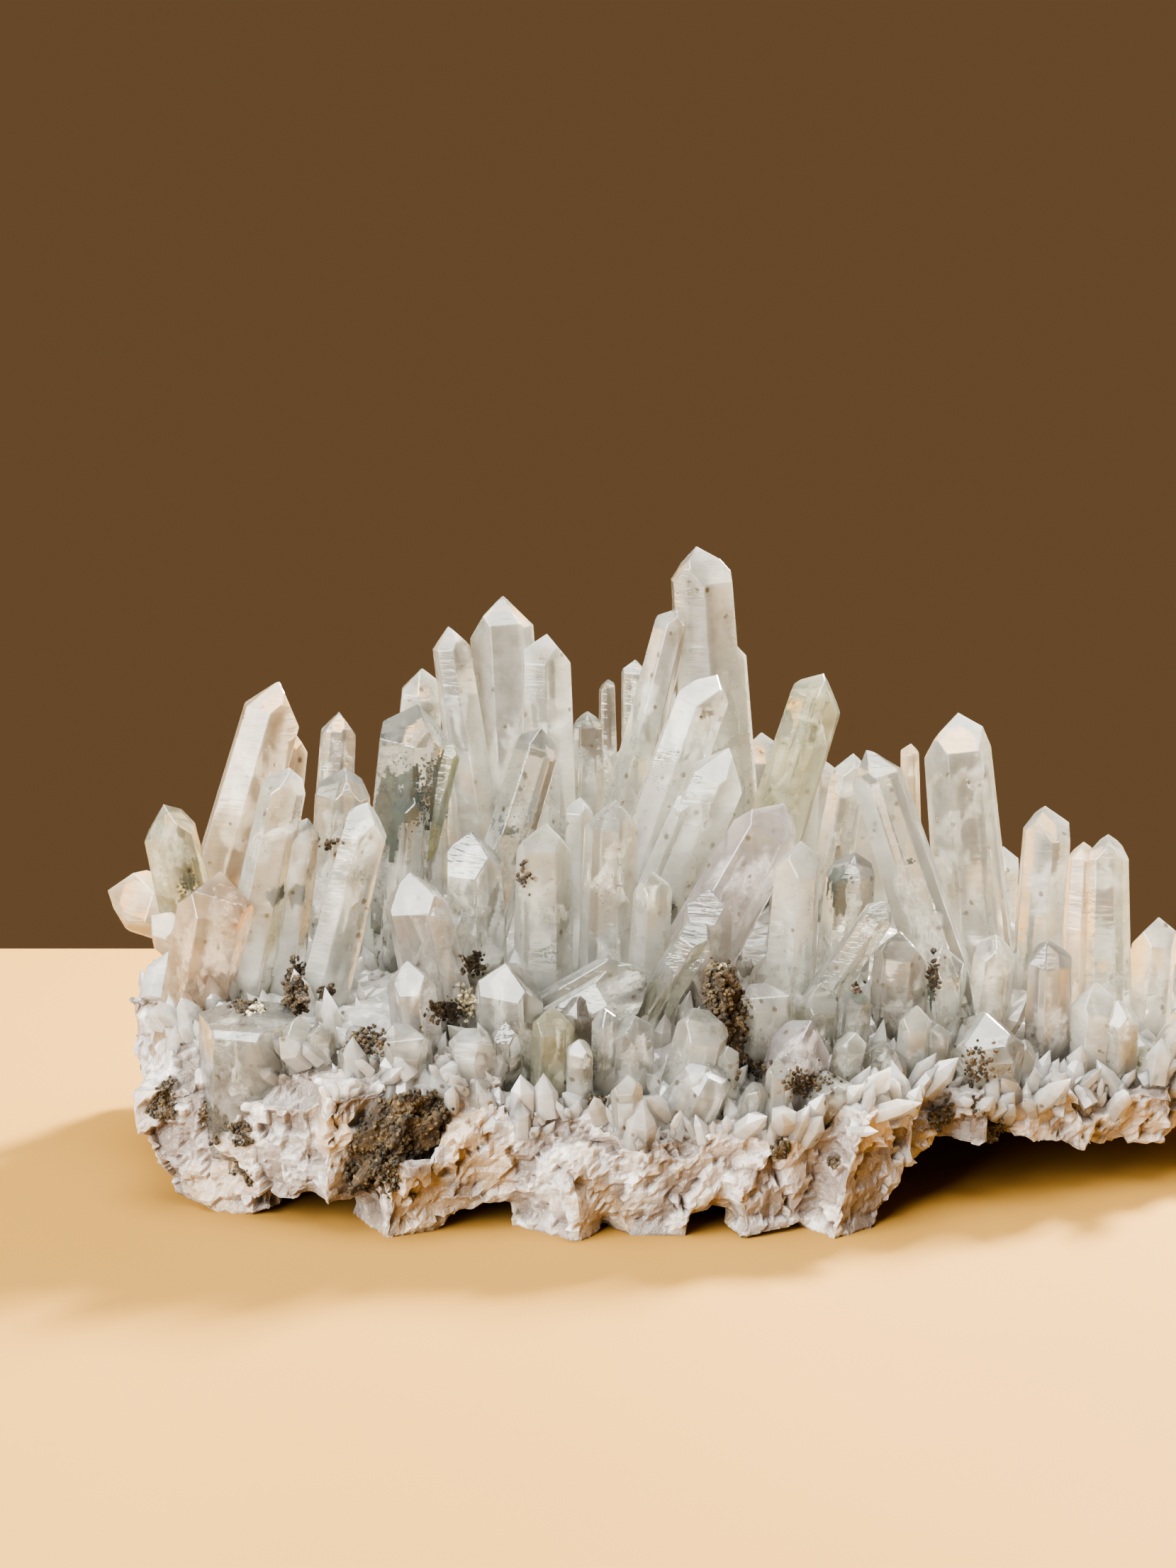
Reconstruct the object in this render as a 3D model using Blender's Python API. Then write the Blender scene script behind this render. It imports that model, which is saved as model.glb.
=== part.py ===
"""Chlorite quartz: quartz points grown together on a thin, lumpy plate of milky quartz, with olive-brown
earthy chlorite lodged in it. The front faces -Y and the plate rests on z = 0. All lengths here are in
millimetres, and the finished meshes are scaled to metres."""

import math
import random

import bmesh
import bpy
from mathutils import Matrix, Vector, noise

METRES_PER_MM = 0.001

# Clearance that each piece keeps to the next one.
GAP = 0.3

# Angle between a face of a quartz point's end and the plane across its axis, and how its sides narrow.
END_FACE_TILT = math.radians(51.8)

# How far the six end faces stand above the tip, in half widths, for each kind of broken end.
BROKEN_ENDS = {"blunt": -0.35, "block": 0.3, "flat": 0.75}
SIDE_TAPER = math.radians(1.2)

# Edges flatter than this are dissolved in the finished solids.
NEARLY_FLAT = math.radians(1.5)

# Steps round the outline for the plate, the drusy layer and the row of small points on the rim.
STATIONS = 30
CRUST_STATIONS = 26
RIM_POINTS = 19

# Points at least this wide carry a lower, thinner one on their flank.
WIDE_POINT = 7.3

# No hidden tip leans further back than this.
DEEPEST_TIP = 33

# Plan outline of the plate, seen from above, once round from the left end along the front.
OUTLINE = [
    (-59, -8), (-58, -17), (-54, -25), (-46, -28), (-37, -31), (-30, -34), (-22, -33), (-15, -33),
    (-7, -35), (2, -34), (9, -33), (15.5, -32), (20, -29), (24, -25), (31, -22), (39, -20),
    (47, -18), (55, -15), (61, -9), (64, 0), (62, 11), (56, 20), (47, 26), (36, 30),
    (20, 33), (4, 35), (-12, 34), (-28, 32), (-42, 27), (-53, 18), (-58, 5),
]

# Heights of the drusy layer that the points grow from: x, y, z.
CRUST_LEVELS = [
    (-58, -10, 18), (-50, -24, 17.5), (-38, -29, 18), (-28, -31, 17.5), (-18, -29, 12), (-8, -31, 12.5),
    (4, -31, 11.5), (14, -28, 12), (22, -24, 13), (33, -20, 11), (46, -17, 11), (58, -10, 11),
    (-52, 2, 24), (-38, -12, 20), (-20, -13, 21), (0, -14, 20), (18, -12, 19), (32, -6, 17),
    (46, -4, 15), (-30, 5, 26), (-8, 8, 29), (12, 8, 28), (30, 8, 21), (50, 6, 15),
    (-45, 20, 20), (-20, 24, 22), (8, 26, 22), (32, 22, 17), (52, 16, 13),
]

# How far the plate's top and the drusy layer's top lie below those heights, at shares of the outline: the plate
# stands up at its rim, where the layer ends against it.
PLATE_TOP = [(0.8, 3.0), (0.93, 1.3)]
PLATE_RIM = 1.0
CRUST_TOP = [(0.45, 0.0), (0.8, 0.0), (0.93, 2.4)]
CRUST_DEPTH = 4.5

# Heights of the hollow underside of the plate: x, y, z.
UNDERSIDE_LEVELS = [
    (-56, -12, 5), (-50, -24, 1.5), (-40, -28, 2.5), (-30, -31, 0.5), (-20, -30, 3), (-7, -32, 0.5),
    (4, -31, 2), (15, -28, 0.5), (24, -23, 7.5), (34, -19, 6), (46, -16, 4.5), (58, -10, 4),
    (-35, -12, 7), (-12, -10, 8), (10, -8, 8), (34, -4, 7.5), (-48, 14, 3), (-25, 14, 8),
    (5, 14, 8), (30, 12, 6), (52, 8, 4), (-40, 24, 2), (-10, 30, 2), (22, 28, 2), (46, 20, 2.5),
]

# Broken blocks of the plate: centre x, y, z and size x, y, z. Those that reach below z = 0 are the feet.
BLOCKS = [
    (-50, -20, 6.5, 13, 12, 15), (-43, -25, 8, 12, 10, 11), (-35, -27.5, 9.5, 11, 9, 13),
    (-29.5, -29, 4.5, 9, 9, 11.5), (-22.5, -29, 8.5, 7.5, 7, 11), (-24, -26, 14, 8, 8, 7),
    (-13.5, -28.8, 6.4, 9, 8.5, 14), (-5.5, -29, 5.5, 10, 10, 12.5), (1.5, -29, 7, 7, 8, 8),
    (7.5, -28.5, 5.5, 11, 9, 10), (15, -26.5, 6, 8, 12, 14), (20.5, -23, 10, 8, 9, 7),
    (28, -19, 9.2, 11, 8, 6), (37, -16, 8.5, 11, 9, 6), (46.5, -13, 8, 11, 9, 6.5), (55.5, -8, 8, 10, 11, 7),
    (-54, -4, 13, 9, 14, 12), (-52, 9, 12, 11, 13, 13), (-44, 20, 6, 14, 11, 14), (-31, 26, 9, 13, 10, 12),
    (-18, 28, 9, 13, 9, 12), (-4, 28, 5.5, 13, 10, 13), (11, 29, 8, 13, 9, 11), (26, 26, 5, 13, 11, 12),
    (39, 22, 7, 13, 10, 9), (50, 14, 4.6, 13, 12, 11), (58, 3, 7.5, 10, 13, 7),
]

# Quartz points: name, foot x y z, tip x y z, width, end. A broken end is blunt, block or flat.
POINTS = [
    ("stub_left", (-52, 2, 24), (-64, 1, 28), 7, "sharp"),
    ("stub_left_low", (-53, -2, 20), (-59.5, -5, 27), 5, "blunt"),
    ("leaner_left", (-54, -1, 19), (-57.3, -4, 38.5), 6.6, "sharp"),
    ("tan_block", (-55.5, -9, 13), (-49.8, -15, 32.6), 9, "block"),
    ("cream_prism", (-54.5, 4, 20), (-45.6, 6, 50.2), 7.8, "sharp"),
    ("cream_behind", (-47.5, 7, 20), (-44, 8, 44.5), 4.6, "sharp"),
    ("striped_prism", (-49.5, -11, 15), (-43, -12, 44.6), 5.8, "sharp"),
    ("striped_partner", (-45, -9, 16), (-41.4, -11, 39.6), 5.2, "blunt"),
    ("small_back_left", (-40.5, 4, 22), (-38.6, 4, 47.5), 5, "sharp"),
    ("blunt_left", (-39, -2, 20), (-37.8, -2, 43.3), 6.8, "blunt"),
    ("lean_clear", (-41, -14, 14), (-34, -15, 41), 6.8, "sharp"),
    ("green_phantom", (-32.5, -1, 18), (-29.5, -2, 49.3), 10, "sharp"),
    ("slim_dark", (-31.5, -3, 24), (-25.6, -4.5, 45.8), 3.4, "sharp"),
    ("blurred_left", (-33, 18, 20), (-30, 20, 50.5), 7, "blunt"),
    ("back_left_lean", (-22, 10, 22), (-26.6, 12, 55.4), 5.6, "sharp"),
    ("back_broad", (-19, 13, 24), (-21, 15, 58.6), 8.6, "sharp"),
    ("back_bright", (-15.5, 10, 24), (-16, 11, 56.4), 7.2, "blunt"),
    ("gap_small", (-11, 12, 25), (-11, 13, 46), 4, "sharp"),
    ("gap_slim", (-8.6, 13, 25), (-8.8, 14, 49.5), 3.2, "sharp"),
    ("gap_glint", (-5, 12, 25), (-5.6, 13, 52), 4.2, "sharp"),
    ("tall_spire", (4, 12, 22), (1.2, 13, 65), 9.2, "sharp"),
    ("spire_flank", (-7.5, 10, 32), (-1.2, 10.5, 58), 5.2, "sharp"),
    ("spire_front", (-8, 1, 20), (3.2, 3, 53), 8, "blunt"),
    ("spire_foot", (-5.5, -2, 20), (5, -3, 45.8), 7.6, "blunt"),
    ("olive_point", (6.5, 6, 22), (15.4, 8, 50.8), 7.6, "sharp"),
    ("blunt_right", (15, 4, 20), (18.7, 4, 43.5), 5, "blunt"),
    ("long_left_lean", (29, -12, 17), (19.6, -5, 44.8), 7.2, "sharp"),
    ("orange_tip", (26, 7, 20), (25.4, 8, 43.2), 3.4, "sharp"),
    ("broad_right", (33.2, 1, 16), (30.2, 5, 46.6), 8.2, "sharp"),
    ("pale_right", (39.5, 2, 14), (40.4, 3, 36.8), 6.2, "sharp"),
    ("orange_right", (46, -8, 11), (45.9, -4, 35), 5.6, "sharp"),
    ("orange_twin", (42.5, -6, 12), (43.4, -3, 34.2), 4.4, "sharp"),
    ("far_right", (50.5, -6, 10), (51.6, -5, 26.2), 5.4, "sharp"),
    ("far_right_lean", (50, -11, 9), (54.5, -15, 19.8), 4.2, "sharp"),
    ("hex_blunt", (-25.5, -17, 14), (-29.8, -22, 36.6), 7.6, "blunt"),
    ("etched_top", (-22.8, -11, 18), (-23.4, -13, 38.6), 7.4, "blunt"),
    ("speckled", (-24.5, -7, 20), (-16, -7, 47.7), 6, "sharp"),
    ("stained_column", (-16, -13, 16), (-15.8, -16, 40.5), 6.5, "blunt"),
    ("front_sharp", (-9, -14, 16), (-8.5, -16.5, 41.8), 6.6, "sharp"),
    ("front_short", (-5, -15, 17), (-4.2, -17, 34.6), 4.8, "sharp"),
    ("behind_sharp", (-12, -8, 20), (-12, -8.5, 40.4), 4.2, "sharp"),
    ("round_clear", (-19, -21, 9), (-19.3, -27, 27.3), 7.4, "sharp"),
    ("lying_chunk", (-17, -21, 17), (-4, -24, 26), 7.4, "blunt"),
    ("shadowed_point", (-28.3, -24, 13), (-29.6, -27, 27.7), 5.8, "sharp"),
    ("green_wedge", (-15, -25, 9), (-14.6, -29, 22.8), 5, "sharp"),
    ("white_tip", (-12, -27, 9), (-11.8, -30.5, 20.2), 3.4, "sharp"),
    ("rim_small", (-9, -25, 11), (-9.1, -28, 22.5), 3.8, "sharp"),
    ("glitter_point", (-6.5, -25, 10), (-6.1, -29, 21.8), 4.8, "sharp"),
    ("lilac_lean", (-3.5, -11, 16), (10.2, -9, 40.8), 8, "blunt"),
    ("olive_crack", (10.5, -13, 15), (11.7, -15, 37), 6, "sharp"),
    ("blunt_spot", (16, -11, 16), (17.4, -12, 36.4), 6, "blunt"),
    ("ribbed_lean", (11, -16, 16), (20.5, -19, 31.6), 4.2, "sharp"),
    ("round_top", (1, -15, 16), (1.7, -17.5, 32.4), 5.6, "sharp"),
    ("lean_prism", (-7.5, -18, 15), (1.2, -21, 30), 4.6, "sharp"),
    ("centre_chunk", (8, -20, 11), (7.5, -23.5, 23.8), 6.8, "block"),
    ("pink_shadow", (8.5, -24, 7), (11.8, -28, 21), 7, "sharp"),
    ("white_broken", (13, -19, 12), (13.5, -21, 24.2), 5.2, "blunt"),
    ("olive_spot", (16.5, -19, 12), (17.2, -22, 23.4), 4, "sharp"),
    ("dark_hollow", (22, -14, 11), (22.5, -16, 27.5), 5.8, "sharp"),
    ("little_right", (23, -19, 10), (23.6, -21.5, 20.8), 4, "sharp"),
    ("ribbed_small", (2.8, -28, 7), (6.8, -32, 16.2), 2.8, "blunt"),
    ("ribbed_thin", (3, -26.5, 8), (3.6, -29, 19), 3, "sharp"),
    ("white_block", (-2, -24, 8), (1, -28.5, 22.2), 6.2, "block"),
    ("rim_lean", (-5, -27.5, 8), (1, -31, 17.4), 4, "sharp"),
    ("right_front", (27, -12, 11), (27.2, -15, 25.8), 5, "sharp"),
    ("right_front_tip", (31.5, -12, 10), (32.8, -14, 26.6), 5.5, "sharp"),
    ("right_brown", (39, -11, 9), (38.6, -14, 26.2), 5.8, "sharp"),
    ("right_brown_low", (43.4, -12, 9), (43.6, -15, 22.6), 5.4, "blunt"),
    ("bright_broken", (32, -15, 8), (31.2, -21, 18.6), 8, "block"),
    ("right_low", (46.5, -12, 8), (46, -15.5, 19.6), 4.8, "sharp"),
    ("right_rim", (26, -17, 9), (25.9, -20.5, 18.8), 3.8, "sharp"),
    ("clear_block", (-47, -22, 7), (-46.4, -25.5, 21.6), 10.8, "flat"),
    ("block_side", (-41, -24, 12), (-40.8, -28, 21.6), 3.6, "sharp"),
    ("block_side_low", (-38.5, -24, 12), (-38.6, -29, 21.2), 3.4, "sharp"),
    ("rim_hump", (-30, -26, 12), (-29.8, -30, 21.2), 6, "block"),
    ("smoky_wedge", (-12.5, -22, 12), (-11.8, -25.5, 23.2), 4.4, "sharp"),
    ("slab_white", (-1.5, -26, 7), (1.8, -31, 17.2), 6.4, "block"),
    ("shard_ledge", (15, -23, 10), (16.6, -26.5, 20), 3.8, "blunt"),
    ("shard_right", (19.2, -21, 10), (19.8, -25, 18.4), 3.8, "sharp"),
    ("block_side_mid", (-35.5, -25, 12), (-34.6, -29.5, 20.6), 4.4, "blunt"),
    ("chunk_left", (-21.5, -26, 12), (-23.4, -30.5, 20.6), 5.2, "block"),
    ("chunk_right", (11, -26, 8), (15, -30, 15.6), 4.8, "block"),
]

# Highest tips that the hidden points at the back may reach, from left to right: x, z.
SKYLINE = [
    (-60, 24), (-50, 34), (-38, 42), (-21, 52), (-10, 43), (2, 55), (15, 44), (30, 41), (40, 32), (50, 22), (64, 14),
]


def plate_level(levels, x, y):
    """Height at x, y between stated heights, each weighing as the inverse cube of its distance."""
    total = weight = 0.0
    for px, py, pz in levels:
        pull = 1.0 / (math.hypot(x - px, y - py) + 1.5) ** 3
        total += pz * pull
        weight += pull
    return total / weight


def lump(x, y, z, size):
    """Smooth seeded noise between about -1 and 1 with lumps of the given size."""
    return noise.noise(Vector((x, y, z)) / size)


def outline_stations(count):
    """Points spaced evenly along the closed plan outline."""
    corners = [Vector(p) for p in OUTLINE]
    sides = [(a, b) for a, b in zip(corners, corners[1:] + corners[:1])]
    step = sum((b - a).length for a, b in sides) / count
    stations = []
    due = 0.0
    for a, b in sides:
        length = (b - a).length
        while due < length and len(stations) < count:
            stations.append(a.lerp(b, due / length))
            due += step
        due -= length
    return stations


def ringed_solid(rings, top, bottom):
    """Closed body from rings of points, from the top middle down the outside to the bottom middle."""
    bm = bmesh.new()
    loops = [[bm.verts.new(p) for p in ring] for ring in rings]
    first = bm.verts.new(top)
    last = bm.verts.new(bottom)
    count = len(loops[0])
    for k in range(count):
        n = (k + 1) % count
        bm.faces.new((first, loops[0][k], loops[0][n]))
        bm.faces.new((last, loops[-1][n], loops[-1][k]))
        for upper, lower in zip(loops, loops[1:]):
            bm.faces.new((upper[k], lower[k], lower[n], upper[n]))
    bmesh.ops.triangulate(bm, faces=bm.faces[:])
    bmesh.ops.recalc_face_normals(bm, faces=bm.faces[:])
    return bm


def plate_body(grow):
    """The plate under the drusy layer: a top, a lumpy wall with a ledge, and a hollow underside."""
    stations = outline_stations(STATIONS)
    rings = []
    for share, below in PLATE_TOP:
        ring = []
        for p in stations:
            x, y = p * share
            level = plate_level(CRUST_LEVELS, x, y) - below
            ring.append((x, y, level + 0.5 * lump(x, y, 0, 5) + grow))
        rings.append(ring)
    for drop, reach in ((0.12, 0.985), (0.45, 1.0), (0.8, 0.985)):
        ring = []
        for p in stations:
            high = plate_level(CRUST_LEVELS, p.x, p.y) - PLATE_RIM
            low = plate_level(UNDERSIDE_LEVELS, p.x, p.y)
            z = high + (low - high) * drop
            x, y = p * reach - p.normalized() * 1.5 * abs(lump(p.x, p.y, z, 4)) + p.normalized() * grow
            ring.append((x, y, z))
        rings.append(ring)
    for share in (0.92, 0.6):
        ring = []
        for p in stations:
            x, y = p * share
            ring.append((x, y, plate_level(UNDERSIDE_LEVELS, x, y) + 0.9 * lump(x, y, 9, 6)))
        rings.append(ring)
    top = (0, 0, plate_level(CRUST_LEVELS, 0, 0) - PLATE_TOP[0][1] + grow)
    return ringed_solid(rings, top, (0, 0, plate_level(UNDERSIDE_LEVELS, 0, 0)))


def crust_body():
    """The drusy layer that joins the feet of all the points, deep enough for the plate to trim it."""
    stations = outline_stations(CRUST_STATIONS)
    rings = []
    for share, below in CRUST_TOP:
        ring = []
        for p in stations:
            x, y = p * share
            ring.append((x, y, plate_level(CRUST_LEVELS, x, y) + 0.9 * lump(x, y, 4, 3.5) - below))
        rings.append(ring)
    under = []
    for p in stations:
        x, y = p * 0.88
        under.append((x, y, plate_level(CRUST_LEVELS, x, y) - CRUST_DEPTH))
    rings.append(under)
    middle = plate_level(CRUST_LEVELS, 0, 0)
    return ringed_solid(rings, (0, 0, middle), (0, 0, middle - CRUST_DEPTH))


def slice_away(bm, point, outward):
    """Takes off what lies outside a plane and closes the cut with one flat face."""
    bmesh.ops.bisect_plane(
        bm, geom=bm.verts[:] + bm.edges[:] + bm.faces[:], plane_co=point, plane_no=outward, clear_outer=True
    )
    bmesh.ops.holes_fill(bm, edges=[e for e in bm.edges if e.is_boundary])


def crystal_body(name, foot, tip, width, end):
    """One quartz point: six unequal sides, then three large and three small faces that meet in its end."""
    draw = random.Random(name)
    foot, tip = Vector(foot), Vector(tip)
    axis = (tip - foot).normalized()
    turned = axis.to_track_quat("Z", "Y").to_matrix()
    half = width / 2
    turn = math.radians(draw.uniform(0, 60))
    bm = bmesh.new()
    size = 3 * (tip - foot).length + 3 * width
    bmesh.ops.create_cube(bm, size=size, matrix=Matrix.Translation(foot + axis * size / 2) @ turned.to_4x4())
    for side in range(6):
        angle = turn + side * math.pi / 3
        outward = turned @ Vector((math.cos(angle), math.sin(angle), math.tan(SIDE_TAPER)))
        slice_away(bm, foot + outward.normalized() * half * draw.uniform(0.8, 1.0), outward.normalized())
    tilt = END_FACE_TILT
    lowest = BROKEN_ENDS.get(end, 0.0)
    if end in BROKEN_ENDS:
        lean = turned @ Vector((draw.uniform(-0.3, 0.3), draw.uniform(-0.3, 0.3), 1))
        slice_away(bm, tip - axis * 0.1 * half, lean.normalized())
    for side in range(0, 6, 2 if end == "simple" else 1):
        angle = turn + side * math.pi / 3
        outward = turned @ Vector(
            (math.sin(tilt) * math.cos(angle), math.sin(tilt) * math.sin(angle), math.cos(tilt))
        )
        lift = draw.uniform(0.0, 0.35) if side % 2 == 0 else draw.uniform(0.2, 1.0)
        slice_away(bm, tip + axis * half * (lift + lowest), outward)
    return bm


def side_growths(points):
    """Lower, thinner points grown parallel on the flank of each wide one."""
    growths = []
    for name, foot, tip, width, end in points:
        if width < WIDE_POINT or end in ("block", "flat"):
            continue
        draw = random.Random(name + " side")
        foot, tip = Vector(foot), Vector(tip)
        turned = (tip - foot).to_track_quat("Z", "Y").to_matrix()
        angle = draw.uniform(0, math.tau)
        aside = turned @ Vector((math.cos(angle), math.sin(angle), 0)) * width * 0.36
        top = foot.lerp(tip, draw.uniform(0.6, 0.85))
        growths.append((name + "_side", foot + aside, top + aside, width * draw.uniform(0.45, 0.6), "sharp"))
    return growths


def skyline_at(x):
    """Highest allowed tip at x, between the stated ones."""
    for (xa, za), (xb, zb) in zip(SKYLINE, SKYLINE[1:]):
        if x <= xb:
            return za + (zb - za) * max(0.0, x - xa) / (xb - xa)
    return SKYLINE[-1][1]


def back_points():
    """The points that the front ones hide: a jittered grid over the back half and the right end."""
    draw = random.Random(41)
    found = []
    for row, y in enumerate((8, 16, 22.5, 29)):
        for column in range(-7, 9):
            x = column * 7.8 + (row % 2) * 3.9 + draw.uniform(-1.6, 1.6)
            fy = y + draw.uniform(-1.5, 1.5)
            if (x / 60) ** 2 + (fy / 33) ** 2 > 0.92 or (row == 0 and -44 < x < 42):
                continue
            if any(math.hypot(x - foot[0], fy - foot[1]) < 4.2 for _, foot, _, _, _ in POINTS):
                continue
            crust = plate_level(CRUST_LEVELS, x, fy)
            lean_x = x * 0.08 + draw.uniform(-2.5, 3.5)
            lean_y = (fy - 8) * 0.22 + draw.uniform(-1.5, 1.5)
            highest = skyline_at(x + lean_x) - 0.25 * (fy + lean_y - 12) - 2
            rise = min(highest - crust, draw.uniform(12, 25) * (1 - 0.35 * abs(x) / 60))
            end = draw.choice(("blunt", "sharp", "simple", "simple"))
            foot = (x, fy, crust - 4)
            tip = (x + lean_x, min(fy + lean_y, DEEPEST_TIP), crust + max(5, rise))
            found.append((f"back_{row}_{column}", foot, tip, draw.uniform(4.6, 8), end))
    return found


def rim_points():
    """Small points round the rim and in the gaps, leaning outwards."""
    draw = random.Random(7)
    found = []
    for k, p in enumerate(outline_stations(RIM_POINTS)):
        share = draw.uniform(0.86, 0.92)
        x, y = p * share
        crust = plate_level(CRUST_LEVELS, x, y)
        out = p.normalized() * draw.uniform(0.5, 3)
        foot = (x, y, crust - 3)
        tip = (x + out.x, y + out.y, crust + draw.uniform(2.5, 6.5))
        found.append((f"rim_{k}", foot, tip, draw.uniform(2.6, 4.4), "simple"))
    return found


def block_body(name, centre, size, grow):
    """A broken block: a box turned a little, with its corners knocked off by flat breaks."""
    draw = random.Random(name)
    centre, size = Vector(centre), Vector(size)
    turned = Matrix.Identity(4)
    for letter, most in (("X", 13), ("Y", 13), ("Z", 40)):
        turned = turned @ Matrix.Rotation(math.radians(draw.uniform(-most, most)), 4, letter)
    scaled = Matrix.Diagonal((size.x + 2 * grow, size.y + 2 * grow, size.z + 2 * grow, 1))
    bm = bmesh.new()
    bmesh.ops.create_cube(bm, size=1, matrix=Matrix.Translation(centre) @ turned @ scaled)
    for _ in range(4):
        corner = Vector((draw.choice((-1, 1)), draw.choice((-1, 1)), draw.choice((-1, 1))))
        bite = draw.uniform(0.52, 0.74)
        outward = Vector((corner.x / size.x, corner.y / size.y, corner.z / size.z)).normalized()
        reach = bite * sum(abs(a * b) for a, b in zip(outward, size)) / 2 + grow
        outward = turned.to_3x3() @ outward
        slice_away(bm, centre + outward * reach * 1.15, outward)
    return bm


def as_object(name, bm):
    """A mesh object made from a bmesh, which is freed."""
    mesh = bpy.data.meshes.new(name)
    bm.to_mesh(mesh)
    bm.free()
    obj = bpy.data.objects.new(name, mesh)
    bpy.context.collection.objects.link(obj)
    return obj


def combined(body, others, operation, solver="EXACT"):
    """Joins the others to a body, or cuts them from it, and removes them."""
    group = bpy.data.collections.new("operands")
    bpy.context.scene.collection.children.link(group)
    for other in others:
        group.objects.link(other)
    change = body.modifiers.new("combine", "BOOLEAN")
    change.operation = operation
    change.solver = solver
    change.operand_type = "COLLECTION"
    change.collection = group
    seen = bpy.context.evaluated_depsgraph_get()
    made = bpy.data.meshes.new_from_object(body.evaluated_get(seen))
    body.modifiers.clear()
    old = body.data
    body.data = made
    bpy.data.meshes.remove(old)
    for other in others:
        spent = other.data
        bpy.data.objects.remove(other)
        bpy.data.meshes.remove(spent)
    bpy.data.collections.remove(group)
    return body


def largest_part_only(obj):
    """Drops the loose crumbs that trimming leaves, such as the end of a foot below the plate."""
    bm = bmesh.new()
    bm.from_mesh(obj.data)
    left = set(bm.verts)
    parts = []
    while left:
        stack = [left.pop()]
        part = set(stack)
        while stack:
            for edge in stack.pop().link_edges:
                for vert in edge.verts:
                    if vert in left:
                        left.remove(vert)
                        part.add(vert)
                        stack.append(vert)
        parts.append(part)
    parts.sort(key=len)
    for part in parts[:-1]:
        bmesh.ops.delete(bm, geom=list(part), context="VERTS")
    bm.to_mesh(obj.data)
    bm.free()


def plate_solid(name, grow):
    """The plate with its blocks and feet in one body, grown by the given amount when it is a cutter."""
    body = as_object(name, plate_body(grow))
    extras = []
    for k, (x, y, z, sx, sy, sz) in enumerate(BLOCKS):
        bm = block_body(f"block {k}", (x, y, z), (sx, sy, sz), grow)
        extras.append(as_object("extra", bm))
    combined(body, extras, "UNION")
    floor = bmesh.new()
    bmesh.ops.create_cube(floor, size=400, matrix=Matrix.Translation((0, 0, -200)))
    return combined(body, [as_object("floor", floor)], "DIFFERENCE")


def earth_lump(name, centre, size, grow):
    """A granular lump of chlorite earth: a ball stretched to size with a rough surface."""
    bm = bmesh.new()
    bmesh.ops.create_icosphere(bm, subdivisions=2, radius=1)
    for vert in bm.verts:
        out = vert.co.normalized()
        rough = 1 + 0.32 * lump(out.x * 3 + centre[0], out.y * 3, out.z * 3, 1.1)
        vert.co = Vector((out.x * size[0], out.y * size[1], out.z * size[2])) / 2 * rough + out * grow
    bmesh.ops.translate(bm, verts=bm.verts[:], vec=centre)
    return as_object(name, bm)


LUMPS = [
    ("chlorite_front", (-31, -32.4, 10), (8.5, 3.6, 9.5)),
    ("chlorite_lodged", (3.2, -24.8, 21.8), (4.6, 3.8, 8.6)),
    ("chlorite_left", (-41.6, -22, 22.5), (3, 3, 3.6)),
]


def finish(obj, colour, roughness):
    """Triangles in metres, a material of its own, and flat shading."""
    bm = bmesh.new()
    bm.from_mesh(obj.data)
    bmesh.ops.dissolve_limit(bm, angle_limit=NEARLY_FLAT, verts=bm.verts[:], edges=bm.edges[:])
    bmesh.ops.scale(bm, vec=(METRES_PER_MM,) * 3, verts=bm.verts[:])
    bmesh.ops.triangulate(bm, faces=bm.faces[:])
    bm.to_mesh(obj.data)
    bm.free()
    material = bpy.data.materials.new(obj.name)
    material.use_nodes = True
    shader = material.node_tree.nodes["Principled BSDF"]
    shader.inputs["Base Color"].default_value = (*colour, 1)
    shader.inputs["Roughness"].default_value = roughness
    obj.data.materials.clear()
    obj.data.materials.append(material)


def build():
    """Makes every piece of the specimen."""
    for obj in list(bpy.data.objects):
        bpy.data.objects.remove(obj)
    everything = POINTS + side_growths(POINTS) + back_points() + rim_points()
    bodies = [as_object("point", crystal_body(*row)) for row in everything]
    crystals = combined(as_object("crystals", crust_body()), bodies, "UNION")
    combined(crystals, [plate_solid("grown", GAP)], "DIFFERENCE", "MANIFOLD")
    matrix = plate_solid("matrix", 0.0)
    for name, centre, size in LUMPS:
        for host in (crystals, matrix):
            combined(host, [earth_lump("pocket", centre, size, GAP)], "DIFFERENCE", "MANIFOLD")
        finish(earth_lump(name, centre, size, 0.0), (0.1, 0.08, 0.04), 0.9)
    largest_part_only(crystals)
    largest_part_only(matrix)
    finish(crystals, (0.75, 0.77, 0.74), 0.15)
    finish(matrix, (0.8, 0.76, 0.73), 0.5)


build()
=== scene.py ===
"""Chlorite quartz, dressed: quartz points with flat, bevelled faces, a sugary drusy layer, a broken milky plate
with stains, granular chlorite earth, and green chlorite inside the points. Lengths in the tables are in
millimetres, and meshes are scaled to metres when they are made."""

import itertools
import math
import random

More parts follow.
